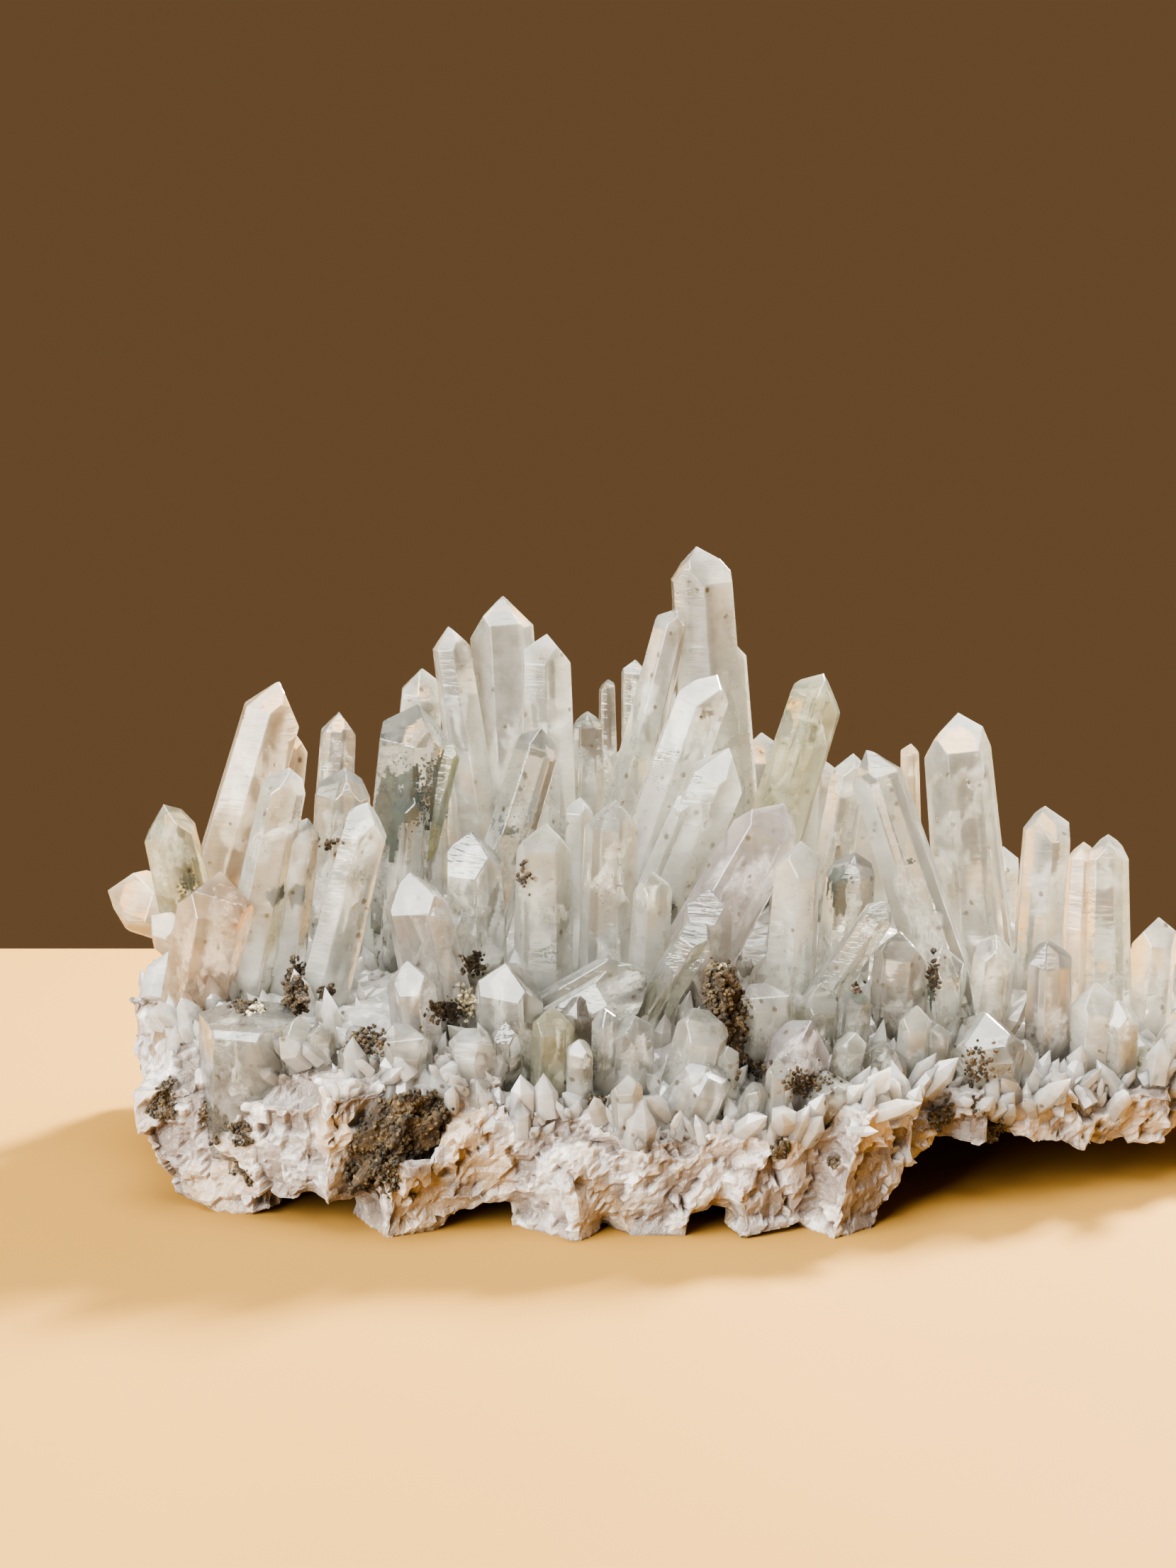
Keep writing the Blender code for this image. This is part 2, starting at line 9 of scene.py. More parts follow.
import bmesh
import bpy
import numpy as np
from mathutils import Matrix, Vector


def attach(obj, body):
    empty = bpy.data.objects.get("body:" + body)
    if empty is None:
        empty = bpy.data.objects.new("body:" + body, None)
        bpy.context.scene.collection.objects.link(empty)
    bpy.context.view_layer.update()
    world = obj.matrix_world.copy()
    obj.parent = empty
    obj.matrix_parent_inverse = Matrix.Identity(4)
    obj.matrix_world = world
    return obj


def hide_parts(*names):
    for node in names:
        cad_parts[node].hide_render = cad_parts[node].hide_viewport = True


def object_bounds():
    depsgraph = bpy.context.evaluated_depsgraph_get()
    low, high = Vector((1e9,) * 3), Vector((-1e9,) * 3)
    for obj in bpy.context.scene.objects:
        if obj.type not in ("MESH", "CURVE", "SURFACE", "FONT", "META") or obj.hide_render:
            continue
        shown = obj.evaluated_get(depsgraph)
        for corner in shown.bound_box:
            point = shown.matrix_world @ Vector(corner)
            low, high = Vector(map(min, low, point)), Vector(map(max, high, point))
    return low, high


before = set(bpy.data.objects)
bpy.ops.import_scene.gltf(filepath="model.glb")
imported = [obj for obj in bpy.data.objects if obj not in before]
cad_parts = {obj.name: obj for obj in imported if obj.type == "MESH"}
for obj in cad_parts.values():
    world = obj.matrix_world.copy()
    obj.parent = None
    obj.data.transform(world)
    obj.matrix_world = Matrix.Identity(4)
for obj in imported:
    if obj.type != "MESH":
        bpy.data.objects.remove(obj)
cad_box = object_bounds()
CAD_LOW, CAD_HIGH = (np.array(corner) * 1000 for corner in cad_box)

METRES_PER_MM = 0.001
END_FACE_TILT = math.radians(51.8)
BROKEN_ENDS = {"blunt": -0.35, "block": 0.3, "flat": 0.75}
SIDE_TAPER = math.radians(1.2)
CHAMFER = 0.16
CRUST_DEPTH = 4.5
CRUST_EDGE = (0.8, 0.93, 2.4)
DEEPEST_TIP = 33
SHEET_THICKNESS = 0.08
CLEAR_INSIDE = ("green_phantom", "slim_dark")
RIM_CRYSTALS = 420
RIM_POINTS = 19
WIDE_POINT = 7.3

# Plan outline of the plate, once round from the left end along the front.
OUTLINE = [
    (-59, -8), (-58, -17), (-54, -25), (-46, -28), (-37, -31), (-30, -34), (-22, -33), (-15, -33),
    (-7, -35), (2, -34), (9, -33), (15.5, -32), (20, -29), (24, -25), (31, -22), (39, -20),
    (47, -18), (55, -15), (61, -9), (64, 0), (62, 11), (56, 20), (47, 26), (36, 30),
    (20, 33), (4, 35), (-12, 34), (-28, 32), (-42, 27), (-53, 18), (-58, 5),
]

# Heights of the drusy layer that the points grow from: x, y, z.
CRUST_LEVELS = [
    (-58, -10, 18), (-50, -24, 17.5), (-38, -29, 18), (-28, -31, 17.5), (-18, -29, 12), (-8, -31, 12.5),
    (4, -31, 11.5), (14, -28, 12), (22, -24, 13), (33, -20, 11), (46, -17, 11), (58, -10, 11),
    (-52, 2, 24), (-38, -12, 20), (-20, -13, 21), (0, -14, 20), (18, -12, 19), (32, -6, 17),
    (46, -4, 15), (-30, 5, 26), (-8, 8, 29), (12, 8, 28), (30, 8, 21), (50, 6, 15),
    (-45, 20, 20), (-20, 24, 22), (8, 26, 22), (32, 22, 17), (52, 16, 13),
]

# Heights of the hollow underside of the plate: x, y, z.
UNDERSIDE_LEVELS = [
    (-56, -12, 5), (-50, -24, 1.5), (-40, -28, 2.5), (-30, -31, 0.5), (-20, -30, 3), (-7, -32, 0.5),
    (4, -31, 2), (15, -28, 0.5), (24, -23, 7.5), (34, -19, 6), (46, -16, 4.5), (58, -10, 4),
    (-35, -12, 7), (-12, -10, 8), (10, -8, 8), (34, -4, 7.5), (-48, 14, 3), (-25, 14, 8),
    (5, 14, 8), (30, 12, 6), (52, 8, 4), (-40, 24, 2), (-10, 30, 2), (22, 28, 2), (46, 20, 2.5),
]

# Broken blocks of the plate: centre x, y, z and size x, y, z.
BLOCKS = [
    (-50, -20, 6.5, 13, 12, 15), (-43, -25, 8, 12, 10, 11), (-35, -27.5, 9.5, 11, 9, 13),
    (-29.5, -29, 4.5, 9, 9, 11.5), (-22.5, -29, 8.5, 7.5, 7, 11), (-24, -26, 14, 8, 8, 7),
    (-13.5, -28.8, 6.4, 9, 8.5, 14), (-5.5, -29, 5.5, 10, 10, 12.5), (1.5, -29, 7, 7, 8, 8),
    (7.5, -28.5, 5.5, 11, 9, 10), (15, -26.5, 6, 8, 12, 14), (20.5, -23, 10, 8, 9, 7),
    (28, -19, 9.2, 11, 8, 6), (37, -16, 8.5, 11, 9, 6), (46.5, -13, 8, 11, 9, 6.5), (55.5, -8, 8, 10, 11, 7),
    (-54, -4, 13, 9, 14, 12), (-52, 9, 12, 11, 13, 13), (-44, 20, 6, 14, 11, 14), (-31, 26, 9, 13, 10, 12),
    (-18, 28, 9, 13, 9, 12), (-4, 28, 5.5, 13, 10, 13), (11, 29, 8, 13, 9, 11), (26, 26, 5, 13, 11, 12),
    (39, 22, 7, 13, 10, 9), (50, 14, 4.6, 13, 12, 11), (58, 3, 7.5, 10, 13, 7),
]

# Quartz points: name, foot x y z, tip x y z, width, end, and the finish of the crystal.
POINTS = [
    ("stub_left", (-52, 2, 24), (-64, 1, 28), 7, "sharp", "cream"),
    ("stub_left_low", (-53, -2, 20), (-59.5, -5, 27), 5, "blunt", "cream"),
    ("leaner_left", (-54, -1, 19), (-57.3, -4, 38.5), 6.6, "sharp", "olive"),
    ("tan_block", (-54, -9, 11.5), (-49.8, -15, 32.6), 9, "block", "tan"),
    ("cream_prism", (-54.5, 4, 20), (-45.6, 6, 50.2), 7.8, "sharp", "cream"),
    ("cream_behind", (-47.5, 7, 20), (-44, 8, 44.5), 4.6, "sharp", "cream"),
    ("striped_prism", (-49.5, -11, 15), (-43, -12, 44.6), 5.8, "sharp", "milky"),
    ("striped_partner", (-45, -9, 16), (-41.4, -11, 39.6), 5.2, "blunt", "milky"),
    ("small_back_left", (-40.5, 4, 22), (-38.6, 4, 47.5), 5, "sharp", "clear"),
    ("blunt_left", (-39, -2, 20), (-37.8, -2, 43.3), 6.8, "blunt", "clear"),
    ("lean_clear", (-41, -14, 14), (-34, -15, 41), 6.8, "sharp", "milky"),
    ("green_phantom", (-32.5, -1, 18), (-29.5, -2, 49.3), 10, "sharp", "glassy"),
    ("slim_dark", (-31.5, -3, 24), (-25.6, -4.5, 45.8), 3.4, "sharp", "olive"),
    ("blurred_left", (-33, 18, 20), (-30, 20, 50.5), 7, "blunt", "milky"),
    ("back_left_lean", (-22, 10, 22), (-26.6, 12, 55.4), 5.6, "sharp", "milky"),
    ("back_broad", (-19, 13, 24), (-21, 15, 58.6), 8.6, "sharp", "milky"),
    ("back_bright", (-15.5, 10, 24), (-16, 11, 56.4), 7.2, "blunt", "milky"),
    ("gap_small", (-11, 12, 25), (-11, 13, 46), 4, "sharp", "clear"),
    ("gap_slim", (-8.6, 13, 25), (-8.8, 14, 49.5), 3.2, "sharp", "clear"),
    ("gap_glint", (-5, 12, 25), (-5.6, 13, 52), 4.2, "sharp", "clear"),
    ("tall_spire", (4, 12, 22), (1.2, 13, 65), 9.2, "sharp", "milky"),
    ("spire_flank", (-7.5, 10, 32), (-1.2, 10.5, 58), 5.2, "sharp", "milky"),
    ("spire_front", (-8, 1, 20), (3.2, 3, 53), 8, "blunt", "milky"),
    ("spire_foot", (-5.5, -2, 20), (5, -3, 45.8), 7.6, "blunt", "milky"),
    ("olive_point", (6.5, 6, 22), (15.4, 8, 50.8), 7.6, "sharp", "olive"),
    ("blunt_right", (15, 4, 20), (18.7, 4, 43.5), 5, "blunt", "milky"),
    ("long_left_lean", (29, -12, 17), (19.6, -5, 44.8), 7.2, "sharp", "clear"),
    ("orange_tip", (26, 7, 20), (25.4, 8, 43.2), 3.4, "sharp", "cream"),
    ("broad_right", (33.2, 1, 16), (30.2, 5, 46.6), 8.2, "sharp", "milky"),
    ("pale_right", (39.5, 2, 14), (40.4, 3, 36.8), 6.2, "sharp", "milky"),
    ("orange_right", (46, -8, 11), (45.9, -4, 35), 5.6, "sharp", "milky"),
    ("orange_twin", (42.5, -6, 12), (43.4, -3, 34.2), 4.4, "sharp", "cream"),
    ("far_right", (50.5, -6, 10), (51.6, -5, 26.2), 5.4, "sharp", "milky"),
    ("far_right_lean", (50, -11, 9), (54.5, -15, 19.8), 4.2, "sharp", "clear"),
    ("hex_blunt", (-25.5, -17, 14), (-29.8, -22, 36.6), 7.6, "blunt", "smoky"),
    ("etched_top", (-22.8, -11, 18), (-23.4, -13, 38.6), 7.4, "blunt", "clear"),
    ("speckled", (-24.5, -7, 20), (-16, -7, 47.7), 6, "sharp", "clear"),
    ("stained_column", (-16, -13, 16), (-15.8, -16, 40.5), 6.5, "blunt", "milky"),
    ("front_sharp", (-9, -14, 16), (-8.5, -16.5, 41.8), 6.6, "sharp", "clear"),
    ("front_short", (-5, -15, 17), (-4.2, -17, 34.6), 4.8, "sharp", "milky"),
    ("behind_sharp", (-12, -8, 20), (-12, -8.5, 40.4), 4.2, "sharp", "milky"),
    ("round_clear", (-19, -21, 9), (-19.3, -27, 27.3), 7.4, "sharp", "clear"),
    ("lying_chunk", (-17, -21, 17), (-4, -24, 26), 7.4, "blunt", "clear"),
    ("shadowed_point", (-28.3, -24, 13), (-29.6, -27, 27.7), 5.8, "sharp", "smoky"),
    ("green_wedge", (-15, -25, 9), (-14.6, -29, 22.8), 5, "sharp", "olive"),
    ("white_tip", (-12, -27, 9), (-11.8, -30.5, 20.2), 3.4, "sharp", "milky"),
    ("rim_small", (-9, -25, 11), (-9.1, -28, 22.5), 3.8, "sharp", "clear"),
    ("glitter_point", (-6.5, -25, 10), (-6.1, -29, 21.8), 4.8, "sharp", "clear"),
    ("lilac_lean", (-3.5, -11, 16), (10.2, -9, 40.8), 8, "blunt", "lilac"),
    ("olive_crack", (10.5, -13, 15), (11.7, -15, 37), 6, "sharp", "milky"),
    ("blunt_spot", (16, -11, 16), (17.4, -12, 36.4), 6, "blunt", "clear"),
    ("ribbed_lean", (11, -16, 16), (20.5, -19, 31.6), 4.2, "sharp", "clear"),
    ("round_top", (1, -15, 16), (1.7, -17.5, 32.4), 5.6, "sharp", "smoky"),
    ("lean_prism", (-7.5, -18, 15), (1.2, -21, 30), 4.6, "sharp", "clear"),
    ("centre_chunk", (8, -20, 11), (7.5, -23.5, 23.8), 6.8, "block", "milky"),
    ("pink_shadow", (8.5, -24, 7), (11.8, -28, 21), 7, "sharp", "lilac"),
    ("white_broken", (13, -19, 12), (13.5, -21, 24.2), 5.2, "blunt", "milky"),
    ("olive_spot", (16.5, -19, 12), (17.2, -22, 23.4), 4, "sharp", "clear"),
    ("dark_hollow", (22, -14, 11), (22.5, -16, 27.5), 5.8, "sharp", "smoky"),
    ("little_right", (23, -19, 10), (23.6, -21.5, 20.8), 4, "sharp", "milky"),
    ("ribbed_small", (2.8, -28, 7), (6.8, -32, 16.2), 2.8, "blunt", "clear"),
    ("ribbed_thin", (3, -26.5, 8), (3.6, -29, 19), 3, "sharp", "milky"),
    ("white_block", (-2, -24, 8), (1, -28.5, 22.2), 6.2, "block", "milky"),
    ("rim_lean", (-5, -27.5, 8), (1, -31, 17.4), 4, "sharp", "milky"),
    ("right_front", (27, -12, 11), (27.2, -15, 25.8), 5, "sharp", "clear"),
    ("right_front_tip", (31.5, -12, 10), (32.8, -14, 26.6), 5.5, "sharp", "milky"),
    ("right_brown", (39, -11, 9), (38.6, -14, 26.2), 5.8, "sharp", "smoky"),
    ("right_brown_low", (43.4, -12, 9), (43.6, -15, 22.6), 5.4, "blunt", "milky"),
    ("bright_broken", (32, -15, 8), (31.2, -21, 18.6), 8, "block", "milky"),
    ("right_low", (46.5, -12, 8), (46, -15.5, 19.6), 4.8, "sharp", "milky"),
    ("right_rim", (26, -17, 9), (25.9, -20.5, 18.8), 3.8, "sharp", "milky"),
    ("clear_block", (-47, -22, 7), (-46.4, -25.5, 21.6), 10.8, "flat", "clear"),
    ("block_side", (-41, -24, 12), (-40.8, -28, 21.6), 3.6, "sharp", "milky"),
    ("block_side_low", (-38.5, -24, 12), (-38.6, -29, 21.2), 3.4, "sharp", "milky"),
    ("rim_hump", (-30, -26, 12), (-29.8, -30, 21.2), 6, "block", "milky"),
    ("smoky_wedge", (-12.5, -22, 12), (-11.8, -25.5, 23.2), 4.4, "sharp", "smoky"),
    ("slab_white", (-1.5, -26, 7), (1.8, -31, 17.2), 6.4, "block", "milky"),
    ("shard_ledge", (15, -23, 10), (16.6, -26.5, 20), 3.8, "blunt", "milky"),
    ("shard_right", (19.2, -21, 10), (19.8, -25, 18.4), 3.8, "sharp", "clear"),
    ("block_side_mid", (-35.5, -25, 12), (-34.6, -29.5, 20.6), 4.4, "blunt", "milky"),
    ("chunk_left", (-21.5, -26, 12), (-23.4, -30.5, 20.6), 5.2, "block", "milky"),
    ("chunk_right", (11, -26, 8), (15, -30, 15.6), 4.8, "block", "milky"),
]

# Highest tips that the hidden points at the back may reach: x, z.
SKYLINE = [
    (-60, 24), (-50, 34), (-38, 42), (-21, 52), (-10, 43), (2, 55), (15, 44), (30, 41), (40, 32), (50, 22), (64, 14),
]

# Lumps of chlorite earth: node, centre, size, and how far each leans to the right for its height.
LUMPS = [
    ("chlorite_front", (-31, -32.2, 10), (7.6, 3.2, 10.2), 0.5),
    ("chlorite_lodged", (3.2, -24.8, 21.8), (4.4, 3.6, 8.8), -0.15),
    ("chlorite_left", (-41.6, -22, 22.5), (3, 3, 3.6), 0.0),
]

# The photograph's frame: its size in pixels, and pixels per millimetre at the camera's target.
PHOTO_SIZE = (1659, 2212)
PHOTO_SCALE = 12.76
CAMERA_TARGET = (-11, 0, 40.5)
CAMERA_DISTANCE = 350.0
CAMERA_ELEVATION = math.radians(12)
TABLE_EDGES = (-420, 420, -420, 81)

# Stained places on the plate and the drusy layer, at pixels of the photograph: x, y, radius in mm, stain.
STAINS = [
    (585, 1580, 4.2, "earth"), (545, 1640, 3.6, "earth"), (620, 1560, 2.4, "earth"), (520, 1650, 2.4, "earth"),
    (300, 1585, 2.2, "earth"), (345, 1600, 1.5, "earth"), (345, 1655, 2.0, "earth"), (235, 1530, 1.6, "earth"),
    (228, 1570, 1.4, "earth"), (520, 1470, 2.8, "earth"), (575, 1470, 1.6, "earth"), (345, 1415, 1.8, "earth"),
    (1145, 1520, 2.6, "earth"), (1185, 1480, 2.0, "earth"), (1060, 1495, 2.0, "earth"), (1468, 1530, 1.6, "earth"),
    (1330, 1570, 2.8, "earth"), (1400, 1590, 2.2, "earth"), (1375, 1560, 1.8, "earth"), (840, 1555, 0.9, "earth"),
    (1100, 1620, 1.8, "earth"), (1180, 1640, 1.2, "earth"), (640, 1430, 1.6, "earth"), (665, 1385, 1.5, "earth"),
    (650, 1610, 4.5, "rust"), (480, 1600, 3.5, "rust"), (300, 1700, 4.5, "rust"), (470, 1720, 4.0, "rust"), (600, 1720, 4.0, "rust"), (700, 1640, 3.0, "rust"),
    (850, 1700, 3.4, "rust"), (1000, 1700, 3.0, "rust"), (330, 1660, 4.0, "rust"), (1250, 1590, 3.0, "rust"),
    (1450, 1620, 3.4, "rust"), (1600, 1600, 3.4, "rust"), (590, 1680, 3.5, "rust"), (760, 1460, 2.0, "rust"),
]

# Chlorite and specks inside the points, at pixels of the photograph: point, x, y, spread x and y in mm,
# number of grains, grain size, depth below the face.
INCLUSIONS = [
    ("green_phantom", 596, 1120, 3.6, 3.4, 420, 0.22, 0.3), ("green_phantom", 626, 1108, 1.5, 4.8, 160, 0.2, 0.35),
    ("green_phantom", 546, 1138, 1.3, 3.6, 120, 0.2, 0.35), ("leaner_left", 265, 1245, 1.0, 1.1, 90, 0.22, 0.4),
    ("leaner_left", 305, 1230, 0.8, 0.8, 50, 0.2, 0.4), ("striped_prism", 385, 1262, 0.9, 0.8, 80, 0.22, 0.4),
    ("striped_partner", 417, 1265, 0.7, 0.9, 60, 0.22, 0.4), ("lean_clear", 480, 1232, 0.5, 0.5, 25, 0.2, 0.4),
    ("speckled", 740, 1093, 0.3, 0.3, 8, 0.26, 0.3), ("speckled", 710, 1098, 0.3, 0.2, 6, 0.24, 0.3),
    ("speckled", 735, 1112, 0.5, 0.2, 8, 0.22, 0.3), ("speckled", 690, 1158, 1.1, 0.7, 90, 0.22, 0.4),
    ("speckled", 715, 1172, 0.8, 0.5, 50, 0.22, 0.4), ("speckled", 725, 1130, 1.6, 2.6, 30, 0.14, 0.4),
    ("stained_column", 770, 1345, 1.8, 2.0, 60, 0.18, 0.6), ("long_left_lean", 1283, 1215, 0.4, 0.4, 14, 0.22, 0.3),
    ("olive_crack", 1087, 1265, 0.5, 1.4, 70, 0.28, 0.3), ("blunt_spot", 1185, 1250, 1.3, 2.0, 90, 0.22, 0.5),
    ("olive_spot", 1213, 1400, 0.8, 0.9, 60, 0.24, 0.3), ("right_front", 1315, 1390, 0.4, 2.2, 70, 0.26, 0.3),
    ("spire_front", 995, 1005, 0.7, 0.6, 24, 0.22, 0.4), ("tall_spire", 985, 850, 0.8, 2.4, 50, 0.14, 0.6),
    ("striped_prism", 400, 1180, 1.8, 3.6, 60, 0.12, 0.4), ("front_sharp", 870, 1240, 2.0, 5.0, 80, 0.12, 0.4),
]

# Milky clouds deep inside the points, in the same columns.
MILKY = [("green_phantom", 590, 1225, 4.6, 8.5, 0, 0, 2.6), ("green_phantom", 600, 1290, 4.6, 7.0, 0, 0, 1.2)]

# Grains lodged between the points, at pixels of the photograph: x, y, spread x and y in mm, number, kind.
LODGED = [
    (418, 1378, 0.9, 1.9, 210, "earth"), (345, 1420, 1.5, 0.8, 110, "earth"), (362, 1424, 1.0, 0.6, 40, "flecks"),
    (460, 1398, 0.7, 0.6, 50, "earth"), (630, 1425, 2.0, 1.1, 170, "earth"), (660, 1412, 1.0, 1.6, 90, "flecks"),
    (668, 1360, 1.1, 1.1, 110, "earth"), (522, 1468, 1.9, 1.3, 190, "earth"), (464, 1190, 0.9, 0.5, 22, "earth"),
    (1022, 1395, 1.8, 3.2, 150, "earth"), (1035, 1425, 1.6, 1.2, 80, "earth"), (1012, 1365, 1.0, 0.8, 40, "flecks"),
    (1140, 1528, 3.0, 1.4, 150, "earth"), (1062, 1508, 2.0, 1.2, 60, "earth"), (840, 1558, 0.9, 0.8, 40, "earth"),
    (845, 1552, 0.8, 0.6, 30, "flecks"), (1380, 1500, 1.6, 2.4, 80, "earth"), (1210, 1395, 0.6, 0.6, 24, "earth"),
    (1318, 1375, 0.6, 2.2, 60, "earth"), (235, 1530, 1.2, 1.6, 70, "earth"), (740, 1235, 0.6, 1.8, 30, "earth"),
]

FINISHES = ["clear", "milky", "cream", "tan", "olive", "lilac", "smoky", "crust", "glassy"]
NOISE_TABLE = np.random.default_rng(5).uniform(-1, 1, 4096)


def plate_level(levels, x, y):
    """Height at x, y between stated heights, each weighing as the inverse cube of its distance."""
    table = np.array(levels, float)
    x, y = np.atleast_1d(x), np.atleast_1d(y)
    pull = 1.0 / (np.hypot(x[:, None] - table[:, 0], y[:, None] - table[:, 1]) + 1.5) ** 3
    return pull @ table[:, 2] / pull.sum(1)


def lattice_value(cells, seed):
    """A random value from -1 to 1 for each whole-number cell."""
    mixed = cells[:, 0] * 73856093 ^ cells[:, 1] * 19349663 ^ cells[:, 2] * 83492791 ^ (seed * 40503)
    return NOISE_TABLE[(mixed ^ (mixed >> 13)) & 4095]


def soft_noise(points, size, seed=0):
    """Random values on a lattice of the given size, blended between its corners by a smooth step."""
    q = points / size
    base = np.floor(q).astype(np.int64)
    t = q - base
    t = t * t * (3 - 2 * t)
    total = np.zeros(len(points))
    for corner in itertools.product((0, 1), repeat=3):
        share = np.prod(np.where(np.array(corner), t, 1 - t), axis=1)
        total += share * lattice_value(base + np.array(corner), seed)
    return total


def layered_noise(points, size, seed=0, layers=3):
    """Soft noise at the given size plus halves of it at half the size, and so on."""
    return sum(soft_noise(points, size / 2**k, seed + k) / 2**k for k in range(layers))


def broken_relief(points, size, seed=0):
    """Relief of broken faces: the nearest of scattered centres lends each point its own tilted plane."""
    base = np.floor(points / size).astype(np.int64)
    nearest = np.full(len(points), np.inf)
    relief = np.zeros(len(points))
    for step in itertools.product((-1, 0, 1), repeat=3):
        cell = base + np.array(step)
        jitter = np.stack([lattice_value(cell, seed + k) for k in range(3)], 1) * 0.42 + 0.5
        away = points - (cell + jitter) * size
        distance = (away**2).sum(1)
        slope = np.stack([lattice_value(cell, seed + 10 + k) for k in range(3)], 1)
        height = (away * slope).sum(1) / size + 0.5 * lattice_value(cell, seed + 20)
        closer = distance < nearest
        relief = np.where(closer, height, relief)
        nearest = np.where(closer, distance, nearest)
    return relief


def outline_stations(count):
    """Points spaced evenly along the closed plan outline."""
    corners = np.array(OUTLINE + OUTLINE[:1], float)
    run = np.concatenate([[0], np.cumsum(np.hypot(*np.diff(corners, axis=0).T))])
    at = np.arange(count) * run[-1] / count
    return np.stack([np.interp(at, run, corners[:, 0]), np.interp(at, run, corners[:, 1])], 1)


def axis_frame(foot, tip):
    """Columns are the two directions across a crystal and the one along it."""
    turned = (Vector(tip) - Vector(foot)).to_track_quat("Z", "Y").to_matrix()
    return np.array(turned)


def crystal_planes(name, foot, tip, width, end):
    """Outward normals and offsets of a quartz point's faces: its foot, six sides, then those of its end."""
    draw = random.Random(name)
    foot, tip = np.array(foot, float), np.array(tip, float)
    turned = axis_frame(foot, tip)
    along = turned[:, 2]
    half = width / 2
    turn = math.radians(draw.uniform(0, 60))
    normals, places = [-along], [foot]
    for side in range(6):
        angle = turn + side * math.pi / 3
        outward = turned @ np.array([math.cos(angle), math.sin(angle), math.tan(SIDE_TAPER)])
        outward /= np.linalg.norm(outward)
        normals.append(outward)
        places.append(foot + outward * half * draw.uniform(0.8, 1.0))
    lowest = BROKEN_ENDS.get(end, 0.0)
    if end in BROKEN_ENDS:
        lean = turned @ np.array([draw.uniform(-0.3, 0.3), draw.uniform(-0.3, 0.3), 1])
        normals.append(lean / np.linalg.norm(lean))
        places.append(tip - along * 0.1 * half)
    tilt = END_FACE_TILT
    for side in range(0, 6, 2 if end == "simple" else 1):
        angle = turn + side * math.pi / 3
        face = np.array([math.sin(tilt) * math.cos(angle), math.sin(tilt) * math.sin(angle), math.cos(tilt)])
        lift = draw.uniform(0.0, 0.35) if side % 2 == 0 else draw.uniform(0.2, 1.0)
        normals.append(turned @ face)
        places.append(tip + along * half * (lift + lowest))
    normals, places = np.array(normals), np.array(places)
    return normals, (normals * places).sum(1)


def plane_corners(normals, offsets):
    """Corners of the solid inside all the planes: where three planes meet and no other cuts them off."""
    triples = np.array(list(itertools.combinations(range(len(normals)), 3)))
    systems = normals[triples]
    solvable = np.abs(np.linalg.det(systems)) > 1e-5
    triples, systems = triples[solvable], systems[solvable]
    corners = np.linalg.solve(systems, offsets[triples][:, :, None])[:, :, 0]
    kept = (corners @ normals.T <= offsets + 1e-5).all(1)
    return corners[kept], triples[kept]


def chamfered(normals, offsets, chamfer):
    """Adds a narrow face along every edge between two faces, cut to the given depth."""
    corners, triples = plane_corners(normals, offsets)
    ends = {}
    for corner, triple in zip(corners, triples):
        for pair in itertools.combinations(triple, 2):
            ends.setdefault(pair, []).append(corner)
    more_normals, more_offsets = [], []
    for (a, b), found in ends.items():
        found = np.array(found)
        if a == 0 or len(found) < 2 or np.ptp(found, axis=0).max() < 0.25:
            continue
        middle = normals[a] + normals[b]
        middle /= np.linalg.norm(middle)
        turn = math.acos(np.clip(normals[a] @ normals[b], -1, 1))
        more_normals.append(middle)
        more_offsets.append(middle @ found[0] - chamfer / 2 * math.tan(turn / 2))
    if not more_normals:
        return normals, offsets
    return np.vstack([normals, more_normals]), np.concatenate([offsets, more_offsets])


def hull_mesh(corners):
    """Points and triangles of the convex solid on these corners."""
    bm = bmesh.new()
    for corner in np.unique(np.round(corners, 4), axis=0):
        bm.verts.new(corner)
    made = bmesh.ops.convex_hull(bm, input=bm.verts[:])
    spare = [v for v in set(made["geom_interior"] + made["geom_unused"]) if isinstance(v, bmesh.types.BMVert)]
    bmesh.ops.delete(bm, geom=spare, context="VERTS")
    bmesh.ops.recalc_face_normals(bm, faces=bm.faces[:])
    bm.verts.index_update()
    points = np.array([v.co for v in bm.verts])
    faces = np.array([[v.index for v in f.verts] for f in bm.faces])
    bm.free()
    return points, faces


def new_object(name, points, faces, material_index=None, smooth=False):
    """A mesh object in metres from points in millimetres and faces of three or four corners."""
    mesh = bpy.data.meshes.new(name)
    faces = np.asarray(faces)
    mesh.vertices.add(len(points))
    mesh.vertices.foreach_set("co", (np.asarray(points) * METRES_PER_MM).astype(np.float32).ravel())
    mesh.loops.add(faces.size)
    mesh.loops.foreach_set("vertex_index", faces.astype(np.int32).ravel())
    mesh.polygons.add(len(faces))
    mesh.polygons.foreach_set("loop_start", (np.arange(len(faces)) * faces.shape[1]).astype(np.int32))
    mesh.update(calc_edges=True)
    if material_index is not None:
        mesh.polygons.foreach_set("material_index", np.broadcast_to(material_index, len(faces)).astype(np.int32))
    mesh.polygons.foreach_set("use_smooth", np.full(len(faces), smooth))
    obj = bpy.data.objects.new(name, mesh)
    bpy.context.collection.objects.link(obj)
    return obj


